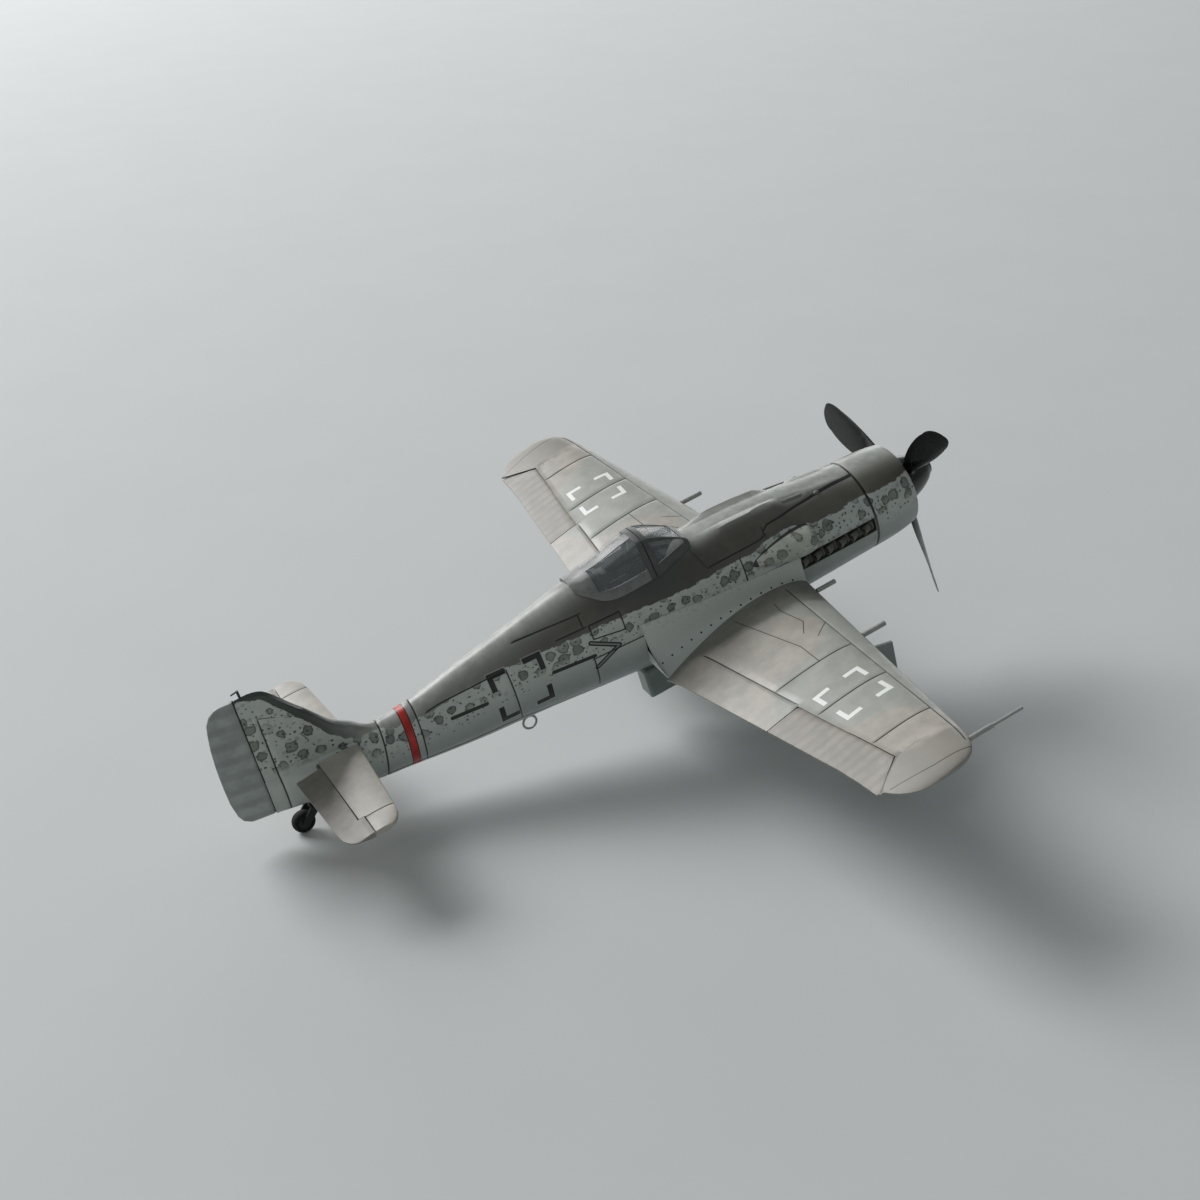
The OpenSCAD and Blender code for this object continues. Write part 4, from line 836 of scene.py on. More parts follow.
    # sunken exhaust bay
    rows_ = np.zeros(N); rows_[iB + 1:iC] = 1.0
    bay = in_rng(S0, 18.1, 33.85)[:, None] * rows_[None]
    disp = disp - 0.62 * bay
    x2, z2 = x + Nn[..., 1] * side * disp, z + Nn[..., 2] * disp
    s2 = ss - Nn[..., 0] * disp
    x2[:, -1] = 0.0
    x2[:, 0] = np.where(sill(S0) > 0.01, x2[:, 0], 0.0)
    x2 = np.maximum(x2, 0)
    z2[:, 0] = z[:, 0]
    s2 = np.clip(s2, 17.5, None)
    xi, zi = points(np.broadcast_to(s, (len(S0), 1)), 1.0)
    si = s + k * (8.0 - zi)
    out = row(s2 + lean(s, z2), side * x2, z2)
    inn = row(si + lean(s, zi), side * xi, zi)
    # the rear edge closes round the nose of the rudder
    ye, ze, se = x2[-1], z2[-1], (s2 + lean(s, z2))[-1]
    hh, rr = rud_h(ze), rud_r(ze) + 0.12
    t0 = np.arcsin(np.clip(ye / rr, 0, 1))
    inside = (ze > 1.0) & (ze < 24.0)
    cols_s, cols_y = [np.minimum(hh - rr * np.cos(t0), hh - 0.58)], [ye]
    for q in np.linspace(0, 1, 6):
        th = t0 * (1 - q)
        cols_s.append(np.minimum(hh - rr * np.cos(th), hh - 0.58)); cols_y.append(np.minimum(rr * np.sin(th), ye))
    extra = np.stack([row(np.where(inside, np.maximum(a_, se), se), side * np.where(inside, b_, ye), ze) for a_, b_ in zip(cols_s, cols_y)])
    K_ = len(extra)
    out = np.concatenate([out, extra])
    inn = np.concatenate([inn, np.repeat(inn[-1:], K_, 0)])
    dark = np.zeros((K_, N))
    wash = np.concatenate([wash, dark])
    V, F, W = shell(out, inn, wash)
    return make(name, V, F, "airframe", M_BODY, (node,), W, angle=38)


fuselage(-1, "fuselage_skin_right", "fuselage_right")
fuselage(+1, "fuselage_skin_left", "fuselage_left")

# ---------------------------------------------------------------- wings
def sF(y): return 38.8 + 3.5 * (y - 8) / 52
def sR(y): return 58.6 - 3.3 * (y - 12) / 28.4


def wing_rows(y, end):
    """chordwise stations of the wing at y: fractions pinned to the two spar lines"""
    a = wle(y)
    f = np.clip(sF(y), a + 0.05 * (end - a), a + 0.5 * (end - a))
    r = np.where(y < 40.22, sR(y), lerp(f, end, 0.84))
    r = np.clip(r, f + 0.3 * (end - f), end - 0.08 * (end - f))
    w = 0.18 * np.minimum(1, (end - a) / 8)
    t1 = 1 - np.cos(np.linspace(0, math.pi / 2, 14))
    t1 = t1[None, :-1]
    b1 = lerp(a, f - w, t1)
    b2 = lerp(f + w, r - w, np.linspace(0, 1, 12)[None, 1:-1])
    b3 = lerp(r + w, end, np.linspace(0, 1, 10)[None, 1:])
    S = np.concatenate([b1, f - w, f, f + w, b2, r - w, r, r + w, b3], 1)
    return S, 14, 14 + 1 + 10 + 2


def wing(side, f, name, node, mat):
    rib_shade = [33.8, 45.0, 58.3]
    ys = []
    a1, i1 = with_feats(list(np.linspace(8.7, 40.2, 27)), [33.8], 0.18, 0.4)
    a2, i2 = with_feats(list(np.linspace(40.24, 63.8, 20)), [45.0, 58.3], 0.18, 0.4)
    a3 = 63.84 + (72.82 - 63.84) * (1 - (1 - np.linspace(0, 1, 20)) ** 1.9)
    Y = np.concatenate([a1, a2, a3])
    kind = np.concatenate([np.zeros(len(a1)), np.ones(len(a2)), np.full(len(a3), 2.0)])
    y = Y[:, None]
    end = np.where(kind[:, None] == 1, ail_s(y) - AIL_R - GAP, wte(y))
    S, jF, jR = wing_rows(y, end)
    yy = np.where(kind[:, None] == 0, y + (yfil(S) - 8.7) * np.maximum(0, 1 - (y - 8.7) / 7.8), y)
    A_ = np.interp(y, [63.84, 66.2, 68.2], [4.2, 2.1, 0.0])
    yy = np.where(kind[:, None] == 2, y + A_ * c01((S - 52.9) / 5.6), yy)
    m, h = wmid(S, yy), whalf(S, yy)
    z = m + f * h
    wash = np.zeros(S.shape)
    wash[:, jF] = ((Y > 10) & (Y < 69)) * 1.0
    wash[:, jR] = ((Y > 12.8) & (Y < 40.1)) * 1.0
    o2 = len(a1)
    wash[i1[0], jF:jR + 1] = 1.0
    for i in i2:
        wash[o2 + i, jF:] = 1.0
    P = np.stack([-S, side * yy, z], -1)
    n = normals(P)
    n = n * np.sign((n[..., 2]).mean() * f)
    n[:, :6] = np.array([0, 0, f])
    # slight hollow between the ribs of the skin, too small to see as a step
    d = -0.09 * wash
    P2 = P + n * d[..., None]
    P2[..., 0] = np.clip(P2[..., 0], None, -wle(0) + 0.001) if False else P2[..., 0]
    out = row(-P2[..., 0], P2[..., 1], P2[..., 2])
    zi = m + f * np.maximum(0, h - WING_SKIN)
    inn = row(S, side * yy, zi)
    # behind the rear line the skin closes round the aileron nose
    ke = (kind == 1) & (f > 0)
    hs = ail_s(Y); he = h[:, -1]
    rr = np.minimum(AIL_R, whalf(hs, Y)) + 0.09
    t0 = np.arcsin(np.clip(he / rr, 0, 1))
    me_ = m[:, -1]
    ex_o = [row(np.where(ke, np.maximum(S[:, -1], hs - rr * np.cos(t0 * (1 - q))), S[:, -1]), side * yy[:, -1],
                np.where(ke, me_ + f * np.minimum(he, rr * np.sin(t0 * (1 - q)) + 0.0 * q), z[:, -1])) for q in np.linspace(0, 1, 5)]
    ex_o = np.stack(ex_o, 1)
    out = np.concatenate([out, ex_o], 1)
    inn = np.concatenate([inn, np.repeat(inn[:, -1:], 5, 1)], 1)
    # the skin curling into the aileron gap is painted near-black: dark hinge-line wash and painted shade in the gap
    wash = np.concatenate([wash, np.where(ke[:, None], np.array([[0, 1, 1, 1, 1.0]]), 0.0)], 1)
    V, F, W = shell(out, inn, wash)
    return make(name, V, F, "airframe", mat, (node,), W, angle=35)


for sd, nm in ((-1, "right"), (1, "left")):
    wing(sd, 1, "wing_skin_upper_" + nm, "wing_upper_" + nm, M_WING)
    wing(sd, -1, "wing_skin_lower_" + nm, "wing_lower_" + nm, M_UNDER)


def aileron(side, name, node):
    Y = np.linspace(40.4, 63.6, 62)
    slant = np.interp(Y, [40.4, 58, 61.5, 63.6], [0, 0, 1.4, 4.0])
    sl = slant[:, None]
    y = Y[:, None]
    sh = ail_s(np.minimum(y, 63.6))
    r = np.minimum(AIL_R, whalf(sh, y))
    b = wte(np.minimum(y, TIP_T0))
    res = []
    for f in (1, -1):
        a = np.radians(90 * (1 - np.arange(8)[None] / 8))
        s1 = sh - r * np.sin(a)
        z1 = wmid(sh, y) + f * np.maximum(0.03, r * np.cos(a))
        t = np.linspace(0, 1, 12)[None]
        s2 = lerp(sh, b, t)
        scal = -0.05 * (0.5 - 0.5 * np.cos(2 * math.pi * (y - 40.4) / 2.05)) * np.sin(math.pi * c01((t - 0.04) / 0.9))
        z2 = wmid(s2, y) + f * (np.minimum(r, whalf(s2, y)) + scal * np.minimum(1, whalf(s2, y) / 0.4))
        y2 = y + sl * c01((s2 - 52.9) / 5.6)
        S = np.concatenate([np.broadcast_to(s1, (len(Y), 8)), s2], 1)
        Z = np.concatenate([np.broadcast_to(z1, (len(Y), 8)), z2], 1)
        Yg = np.concatenate([np.broadcast_to(y, (len(Y), 8)), y2], 1)
        res.append(row(S, side * Yg, Z))
    # the aileron nose inside the gap is painted near-black: dark hinge-line wash and painted shade in the gap
    nose = np.zeros(res[0].shape[:2]); nose[:, :7] = 1.0
    V, F, W = shell(res[0], res[1], nose)
    W[len(W) // 2:] = nose.ravel()
    return make(name, V, F, "aileron_" + ("right" if side < 0 else "left"), M_AIL, (node,), W, angle=40)


aileron(-1, "aileron_skin_right", "aileron_right")
aileron(1, "aileron_skin_left", "aileron_left")


def fillet(side, name, node):
    S = np.linspace(33.9, 65.3, 80)[:, None]
    yf = yfil(S) - 0.02
    zt, zb = wmid(S, yf) + whalf(S, yf), wmid(S, yf) - whalf(S, yf)
    p0x, p0z = fus(S, 84.0)
    p1x, p1z = fus(S, 128.0)
    t = np.linspace(0, 1, 24)[None]
    y1 = lerp(lerp(p0x + 0.25, p0x + 0.35, t), lerp(p0x + 0.35, yf, t), t)
    z1 = lerp(lerp(p0z, zt, t ** 0.5), zt, t)
    t2 = np.linspace(0, 1, 10)[None]
    y3 = lerp(yf, p1x + 0.25, t2)
    z3 = lerp(zb, p1z, t2 * t2)
    Yo = np.concatenate([y1, yf, y3], 1)
    Zo = np.concatenate([z1, (zt + zb) / 2, z3], 1)
    a = np.concatenate([np.linspace(84, 128 * 7 / 12 + 84 * 5 / 12, 24), [110.0], np.linspace(112, 128, 10)])[None]
    xi, zi = fus(np.broadcast_to(S, (80, 35)), np.broadcast_to(a, (80, 35)))
    V, F, W = shell(row(S, side * Yo, Zo), row(S, side * (xi + 0.02), zi))
    ob = make(name, V, F, "airframe", M_FIL, (node,), W, angle=40)
    # row of fasteners near the edge
    parts = []
    for sd in np.arange(36.4, 64.5, 2.15):
        yf_ = float(yfil(sd)) - 0.02
        k = 0.80
        p0 = float(fus(np.array([sd]), np.array([84.0]))[0][0]); pz = float(fus(np.array([sd]), np.array([84.0]))[1][0])
        ztop = float(wmid(sd, yf_) + whalf(sd, yf_))
        fy = lambda q: lerp(lerp(p0 + 0.25, p0 + 0.35, q), lerp(p0 + 0.35, yf_, q), q)
        fz = lambda q: lerp(lerp(pz, ztop, q ** 0.5), ztop, q)
        k = 0.62
        tt = np.array([0, fy(k + 0.02) - fy(k - 0.02), fz(k + 0.02) - fz(k - 0.02)]); tt /= np.linalg.norm(tt)
        nn = np.array([0, -tt[2], tt[1]]); nn = nn if nn[2] > 0 else -nn
        c = np.array([sd, fy(k), fz(k)])
        ring = []
        for rr, hh in ((0.19, -0.06), (0.19, 0.015), (0.14, 0.035), (0.0, 0.04)):
            for q in range(14):
                th = 2 * math.pi * q / 14
                w_ = c + rr * (math.cos(th) * np.array([1, 0, 0]) + math.sin(th) * tt) + hh * nn
                ring.append(row(w_[0], side * w_[1], w_[2]))
        V = np.array(ring)
        F = []
        for i in range(3):
            for q in range(14):
                l = (q + 1) % 14
                F.append((i * 14 + q, i * 14 + l, (i + 1) * 14 + l, (i + 1) * 14 + q))
        F.append(tuple(range(14))[::-1])
        parts.append((V, flip_fix(V, F)))
    V, F, W = join(parts)
    make(name.replace("skin", "fasteners"), V, F, "airframe", M_DOT, (), None, angle=40, weld=0.0002, orient=False)
    return ob


fillet(-1, "wing_fillet_skin_right", "wing_fillet_right")
fillet(1, "wing_fillet_skin_left", "wing_fillet_left")

# ---------------------------------------------------------------- tail
K = TAIL_HALF / 25.3


def tailplane(side, name, node):
    Y, i = with_feats(list(np.linspace(2.0, 20.3, 20)), [], 0.1)
    Y3 = 20.34 + (25.05 - 20.34) * (1 - (1 - np.linspace(0, 1, 16)) ** 1.8)
    Y3, i3 = with_feats(list(Y3), [20.66], 0.14, 0.25)
    Y = np.concatenate([Y, Y3])
    y = Y[:, None] * K
    end = np.where(Y[:, None] > 20.32, ELEV_S - 1.3 - GAP, ELEV_S - ELEV_R - GAP)
    t = np.linspace(0, 1, 26)[None] ** 1.5
    S = lerp(tle(y), end, t)
    wash = np.zeros(S.shape)
    wash[len(Y) - len(Y3) + i3[0], 3:] = 1.0
    h = thalf(S, y)
    rr = ELEV_R + 0.10
    plain = (Y <= 20.32)
    he = h[:, -1]
    t0 = np.arcsin(np.clip(he / rr, 0, 1))
    res = []
    for f in (1, -1):
        g = row(S, side * y, ELEV_Z + f * (h - 0.07 * wash))
        ex = np.stack([row(np.where(plain, np.maximum(S[:, -1], ELEV_S - rr * np.cos(t0 * (1 - q))), S[:, -1]), side * y[:, 0],
                           ELEV_Z + f * np.where(plain, np.maximum(np.minimum(he, rr * np.sin(t0 * (1 - q))), 0.01), he)) for q in np.linspace(0, 1, 5)], 1)
        res.append(np.concatenate([g, ex], 1))
    # the skin curling into the elevator gap is painted near-black: dark hinge-line wash and painted shade in the gap
    wash = np.concatenate([wash, np.where(plain[:, None], np.array([[0, 1, 1, 1, 1.0]]), 0.0)], 1)
    V, F, W = shell(res[0], res[1], wash)
    W[len(W) // 2:] = wash.ravel()
    return make(name, V, F, "airframe", M_TAIL, (node,), W, angle=35)


def elevator(side, name, node):
    Y = np.concatenate([np.linspace(3.3, 20.36, 44), 20.4 + (25.05 - 20.4) * (1 - (1 - np.linspace(0, 1, 16)) ** 1.8)])
    y = Y[:, None] * K
    b = tte(y)
    horn = Y[:, None] > 20.38
    res = []
    for f in (1, -1):
        a = np.radians(90 * (1 - np.arange(6)[None] / 6))
        s1 = ELEV_S - ELEV_R * np.sin(a)
        z1 = f * np.maximum(0.03, ELEV_R * np.cos(a))
        q = np.arange(6)[None] / 6
        s1h = ELEV_S - 1.3 + 1.3 * (1 - np.cos(np.radians(90 * q))) * 0.9
        z1h = f * np.maximum(0.1, np.minimum(ELEV_R, thalf(ELEV_S - 1.0, y)) * np.where(q == 0, 0.7, 1.0))
        S1 = np.where(horn, s1h, s1)
        Z1 = np.where(horn, z1h, z1)
        t = np.linspace(0, 1, 10)[None]
        S2 = lerp(ELEV_S, b, t)
        scal = -0.03 * (0.5 - 0.5 * np.cos(2 * math.pi * y / 2.4)) * np.sin(math.pi * c01((t - 0.05) / 0.9))
        Z2 = f * (np.minimum(ELEV_R, thalf(S2, y)) + scal)
        S = np.concatenate([np.broadcast_to(S1, (len(Y), 6)), S2], 1)
        Z = np.concatenate([np.broadcast_to(Z1, (len(Y), 6)), Z2], 1)
        res.append(row(S, side * y, ELEV_Z + Z))
    # the elevator nose inside the gap is painted near-black: dark hinge-line wash and painted shade in the gap
    nose = np.zeros(res[0].shape[:2]); nose[:, :5] = np.where(horn, np.array([[1, 0, 0, 0, 0.0]]), 1.0)
    V, F, W = shell(res[0], res[1], nose)
    W[len(W) // 2:] = nose.ravel()
    return make(name, V, F, "elevators", M_ELEV, (node,), W, angle=40)


for sd, nm in ((-1, "right"), (1, "left")):
    tailplane(sd, "tailplane_skin_" + nm, "tailplane_" + nm)
    elevator(sd, "elevator_skin_" + nm, "elevator_" + nm)


def rudder():
    Zs = np.unique(np.concatenate([1.15 + 22.85 * (0.5 - 0.5 * np.cos(np.linspace(0, math.pi, 60))), [5.05, 5.95, 18.05, 18.95]]))
    z = Zs[:, None]
    e = np.interp(Zs, [r[0] for r in RUD], [r[1] for r in RUD])[:, None]
    h, r = rud_h(z), rud_r(z)
    endcap = c01((Zs - 1.15) / 0.5)[:, None] ** 0.5 * c01((24.0 - Zs) / 0.5)[:, None] ** 0.5
    endcap = 0.35 + 0.65 * endcap
    res = []
    for f in (1, -1):
        a = np.radians(90 * (1 - np.arange(7)[None] / 7))
        s1 = h - r * np.sin(a)
        y1 = f * np.maximum(0.03, r * np.cos(a)) * endcap
        t = np.linspace(0, 1, 10)[None]
        s2 = lerp(h, e, t)
        scal = -0.05 * (0.5 - 0.5 * np.cos(2 * math.pi * (z - 0.12 * s2) / 3.0)) * np.sin(math.pi * c01((t - 0.05) / 0.9))
        y2 = f * (lerp(r, 0.16, t) + scal) * endcap
        S = np.concatenate([np.broadcast_to(s1, (len(Zs), 7)), s2], 1)
        Yg = np.concatenate([np.broadcast_to(y1, (len(Zs), 7)), np.broadcast_to(y2, (len(Zs), 10))], 1)
        res.append(row(S, Yg, np.broadcast_to(z, S.shape)))
    # the rudder nose inside the gap is painted near-black: dark hinge-line wash and painted shade in the gap
    nose = np.zeros(res[0].shape[:2]); nose[:, :5] = 1.0
    V, F, W = shell(res[0], res[1], nose)
    W[len(W) // 2:] = nose.ravel()
    return make("rudder_skin", V, F, "rudder", M_RUD, ("rudder",), W, angle=40)


rudder()

# ---------------------------------------------------------------- nose
def thrust_lathe(name, prof, body, mat, node, n=128, angle=40, weld=0.0015):
    """prof: (radius, s)"""
    V, F = lathe([(r, -q) for r, q in prof], pt(0, 0, 0), FWD, n)
    return make(name, V, F, body, mat, (node,) if node else (), None, angle=angle, weld=weld)


outer = [[0.55, 7.9], [2.2, 8.2], [4.5, 8.45], [7.5, 8.58], [9.3, 8.6]]
prof = [(7.4 + 0.5 * math.cos(a), 8.55 - 0.55 * math.sin(a)) for a in np.radians(np.linspace(180, 0, 13))]
prof += [(float(at(outer, q, 1)), 8 + q) for q in np.linspace(0.8, 9.15, 14)] + [(8.56, 17.27), (8.5, 17.3), (7.5, 17.3), (7.3, 13.0), (7.05, 10.8), (6.9, 9.6)]
thrust_lathe("cowl_ring_skin", prof, "airframe", M_COWL, "cowl_ring")
tipT = [[0, 0.0], [0.18, 0.9], [0.7, 1.7], [1.7, 2.55], [3.0, 3.3], [4.4, 3.9], [5.9, 4.35], [7.4, 4.7], [8.6, 4.85]]
so = [(0.0, 0.0)] + [(float(np.interp(q, [t[0] for t in tipT], [t[1] for t in tipT])) if q > 0.7 else float(np.sqrt(max(0, 1 - (1 - q / 0.7) ** 2)) * 1.7), q) for q in
      [0.01, 0.05, 0.12, 0.25, 0.45, 0.7]]
so += [(float(at([[0.7, 1.7], [1.7, 2.55], [3.0, 3.3], [4.4, 3.9], [5.9, 4.35], [7.4, 4.7], [8.6, 4.85]], q, 1)), q) for q in np.linspace(0.9, 8.52, 24)]
so += [(4.83, 8.58), (4.75, 8.6), (4.15, 8.6), (4.0, 7.4), (3.65, 5.9), (3.2, 4.4), (2.6, 3.0), (1.7, 1.9), (0.6, 1.2), (0.0, 1.1)]
V, F = lathe([(r, -q) for r, q in so], pt(0, 0, 0), FWD, 112)
make("spinner_shell", V, F, "propeller", M_BLACK, ("spinner",), None, angle=40, weld=0.004)
thrust_lathe("spinner_plate", [(0.8, 8.62), (4.72, 8.62), (4.85, 8.70), (4.85, 9.14), (4.78, 9.22), (0.8, 9.22)], "propeller", M_BLACK, "spinner_backplate", 112)

BL = [[5.2, 2.2, 1.1, 52], [7.5, 3.1, 0.85, 46], [10.5, 4.2, 0.7, 39], [13.5, 4.9, 0.58, 33], [16.5, 5.2, 0.48, 29], [19.2, 5.0, 0.38, 26], [21.4, 4.2, 0.3, 24], [22.8, 3.1, 0.22, 23], [23.5, 1.9, 0.16, 23], [23.8, 0.8, 0.12, 23]]


def blade_frame(k):
    a = math.radians(18.5 + 120 * k - 90)
    return lambda x, y, z: (x, y * math.cos(a) - z * math.sin(a), y * math.sin(a) + z * math.cos(a))


parts = []
for k in range(3):
    R = blade_frame(k)
    rr = np.concatenate([np.linspace(5.2, 20, 26), 20 + 3.8 * np.sin(np.linspace(0.06, math.pi / 2, 16))])
    xx = 0.5 - 0.5 * np.cos(np.linspace(0, math.pi, 17))
    grids = []
    for f in (1, -1):
        g = np.zeros((len(rr), len(xx), 3))
        for i, r in enumerate(rr):
            ch, th, tw = float(at(BL, r, 1)), float(at(BL, r, 2)), math.radians(float(at(BL, r, 3)))
            if r > 20:
                ch = 4.65 * math.sqrt(max(0.0, 1 - ((r - 20) / 3.85) ** 2)) ** 0.9 + 0.2
            c = (xx - 0.32) * ch
            h = f * np.maximum(0.03, th * 0.5 * thick(xx) / 0.5 + 0.02)
            x_, y_, z_ = -c * math.sin(tw) + h * math.cos(tw), c * math.cos(tw) + h * math.sin(tw), np.full_like(c, r)
            X_, Y_, Z_ = R(x_, y_, z_)
            g[i] = np.stack([X_ - 6.2, Y_, Z_], -1)
        grids.append(row(-g[..., 0], g[..., 1], g[..., 2]))
    V, F, W = shell(grids[0], grids[1])
    parts.append((V, flip_fix(V, F)))
    # round shank into the hub
    ring, F2 = [], []
    for i, (rad, zz) in enumerate([(0.95, 2.35), (0.95, 4.2), (0.92, 5.0), (0.8, 5.8), (0.45, 6.6)]):
        for q in range(28):
            th = 2 * math.pi * q / 28
            X_, Y_, Z_ = R(rad * math.cos(th), rad * math.sin(th), zz)
            ring.append(row(6.2 - X_, Y_, Z_))
    for i in range(4):
        for q in range(28):
            l = (q + 1) % 28
            F2.append((i * 28 + q, i * 28 + l, (i + 1) * 28 + l, (i + 1) * 28 + q))
    F2.append(tuple(range(28))[::-1]); F2.append(tuple(4 * 28 + q for q in range(28)))
    V2 = np.array(ring)
    parts.append((V2, flip_fix(V2, F2)))
V, F, W = join(parts)
make("propeller_blade_set", V, F, "propeller", M_BLADE, ("propeller_blades",), None, angle=50, orient=False)

# exhaust stubs
for sd, nm in ((-1, "right"), (1, "left")):
    parts = []
    for i in range(6):
        s0 = 18.75 + 2.62 * i
        y0 = float(fus_y(s0, -0.05))
        p = pt(s0, sd * (y0 - 0.62), -0.05)
        d = pt(s0 + 1.0, sd * (y0 - 0.62 + 0.42), -0.07) - p
        V, F = tube(p, d, UPV, 0.86, 0.48, 2.15, 0.13, 0.75, 28, 0.82)
        parts.append((V, flip_fix(V, F)))
        V, F = tube(pt(s0 - 0.12, sd * (y0 - 0.66), -0.05), d, UPV, 1.02, 0.64, 0.42, 0.2, 0.05, 28, 1.0)
        parts.append((V, flip_fix(V, F)))
    V, F, W = join(parts)
    make("exhaust_stubs_" + nm, V, F, "airframe", M_EXH, ("exhaust_stacks_" + nm,), None, angle=40, orient=False)

# cowl gun barrels lying low in their troughs
parts = []
for sd in (-1, 1):
    zt_ = float(fus(np.array([29.6]), fus_angle(29.6, 9.8))[1][0])
    ang = math.degrees(0.35)
    xs_, zs_ = fus(np.array([32.2, 28.0]), np.array([20.0, 20.0]))
    p0, p1 = pt(32.3, sd * 2.95, float(zs_[0]) - 0.10), pt(28.0, sd * 2.95, float(zs_[1]) - 0.06)
    V, F = tube(p0, p1 - p0, UPV, 0.34, 0.34, float(np.linalg.norm(p1 - p0)), 0.12, 0.9, 24)
    parts.append((V, flip_fix(V, F)))
V, F, W = join(parts)
make("cowl_gun_barrels", V, F, "airframe", M_DARKGUN, ("cowl_guns",), None, angle=40, orient=False)

# air scoop on the right side
INT = [[30.25, 1.35, 1.7], [30.7, 2.05, 2.1], [31.4, 2.35, 2.3], [33.5, 2.4, 2.4], [36, 2.0, 2.2], [39, 1.25, 1.6], [41.3, 0.6, 0.9], [42.6, 0.12, 0.3]]
S = np.concatenate([[30.25, 30.35, 30.5], np.linspace(30.7, 42.6, 40)])[:, None]
reach, half = at(INT, S, 1), at(INT, S, 2)
a = np.radians(np.linspace(-90, 90, 25))[None]
z = 4.2 + half * np.sin(a)
yb = fus_y(np.broadcast_to(S, z.shape), z)
o = row(S, -(yb + 0.03 + reach * np.maximum(0, np.cos(a)) ** 0.75), z)
i_ = row(S, -(yb - 0.25), z)
# dark along the scoop's join with the body and at its tail: partly a dark joint line, partly painted shade under the
# scoop
scoop_edge_shade = np.zeros(z.shape)
scoop_edge_shade[:, :3] = 1.0
scoop_edge_shade[:, -2:] = 1.0
scoop_edge_shade[-3:] = 1.0
V, F, W = shell(o, i_, scoop_edge_shade)
make("air_scoop_skin", V, F, "airframe", M_SCOOP, ("supercharger_intake",), W, angle=45)
V, F = tube(pt(30.9, -float(fus_y(30.6, 4.2)) - 0.95, 4.2), FWD, UPV, 1.35, 0.75, 0.78, 0.12, 0.55, 32)
make("air_scoop_lip", V, F, "airframe", M_DARKGUN, (), None)

# small teardrop on the cowl side and its twin
def teardrop(name, s0, y0, z0, rs, ry, rz, mat, body="airframe", nu=20, nv=14):
    V, F = [], []
    for i in range(nu + 1):
        t = i / nu
        k = math.sin(math.pi * t ** 0.8)
        for j in range(nv):
            th = 2 * math.pi * j / nv
            V.append(row(s0 + rs * (2 * t - 1), y0 + ry * k * math.cos(th), z0 + rz * k * math.sin(th)))
    for i in range(nu):
        for j in range(nv):
            l = (j + 1) % nv
            F.append((i * nv + j, i * nv + l, (i + 1) * nv + l, (i + 1) * nv + j))
    return make(name, np.array(V), F, body, mat, (), None, angle=60, weld=0.003)


for sd, nm in ((-1, "right"), (1, "left")):
    yb_ = float(fus_y(25.6, 8.7))
    teardrop("cowl_teardrop_" + nm, 25.6, sd * (yb_ - 0.1), 8.7, 0.85, 0.42, 0.38, M_COWL)

# ---------------------------------------------------------------- canopy
_SK_S = np.linspace(50.5, 74.5, 97)
_SK_Z = []
for q_ in _SK_S:
    aa = np.linspace(0.5, 89, 240)
    xx_, zz_ = fus(np.full(240, q_), aa)
    _SK_Z.append(float(np.interp(float(at(CAN, q_, 1)), xx_, zz_)))


def SKIRT(s): return np.interp(s, _SK_S, _SK_Z)


def can_curve(s, q, k, gap=0.12):
    """q from 0 (right rail) over the crown (1) to 2 (left rail); k: how far inside"""
    A_, B_, C_, D_, E_ = [at(CAN, s, c) for c in (1, 2, 3, 4, 5)]
    A_, C_, D_, E_ = A_ - k, C_ - k * 0.8, D_ - k * 0.7, E_ - k
    u = np.where(q <= 1, q, 2 - q)
    tk = c01(-u / 0.1)
    t1 = c01(u / 0.5)
    t2 = c01((u - 0.5) / 0.5)
    y1, z1 = lerp(A_, C_, t1), lerp(B_, D_, t1)
    y1 = y1 + 0.16 * np.sin(math.pi * t1)
    y2, z2 = C_ * (1 - t2 ** 1.25), lerp(D_, E_, 1 - (1 - t2) ** 1.7)
    y = np.where(u <= 0.5, y1, y2)
    z = np.where(u <= 0.5, z1, z2)
    # skirt below the rail, flared out to the body
    An = at(CAN, s, 1)
    zf = SKIRT(s) + gap
    y = np.where(u < 0, A_ + 0.32 * tk, y)
    z = np.where(u < 0, lerp(B_, np.minimum(zf, B_ - 0.02), tk), z)
    return np.where(q <= 1, -y, y), z


def can_patch(s0, s1, q0, q1, k_out, k_in, ns=None, nq=None, gap=0.12):
    ns = ns or max(3, int((s1 - s0) / 0.4) + 1)
    nq = nq or max(3, int((q1 - q0) / 0.05) + 1)
    S = np.linspace(s0, s1, ns)[:, None]
    q = np.linspace(q0, q1, nq)[None]
    S = np.broadcast_to(S, (ns, nq)); q = np.broadcast_to(q, (ns, nq))
    ya, za = can_curve(S, q, k_out, gap)
    yb, zb = can_curve(S, q, k_in, gap)
    A_, B_ = row(S, ya, za), row(S, yb, zb)
    V, F, W = shell(A_, B_)
    return V, flip_fix(V, F)


def build(name, patches, body, mat, stands=(), angle=35):
    V, F, W = join(patches)
    return make(name, V, F, body, mat, stands, None, angle=angle, weld=0.0004, orient=False)


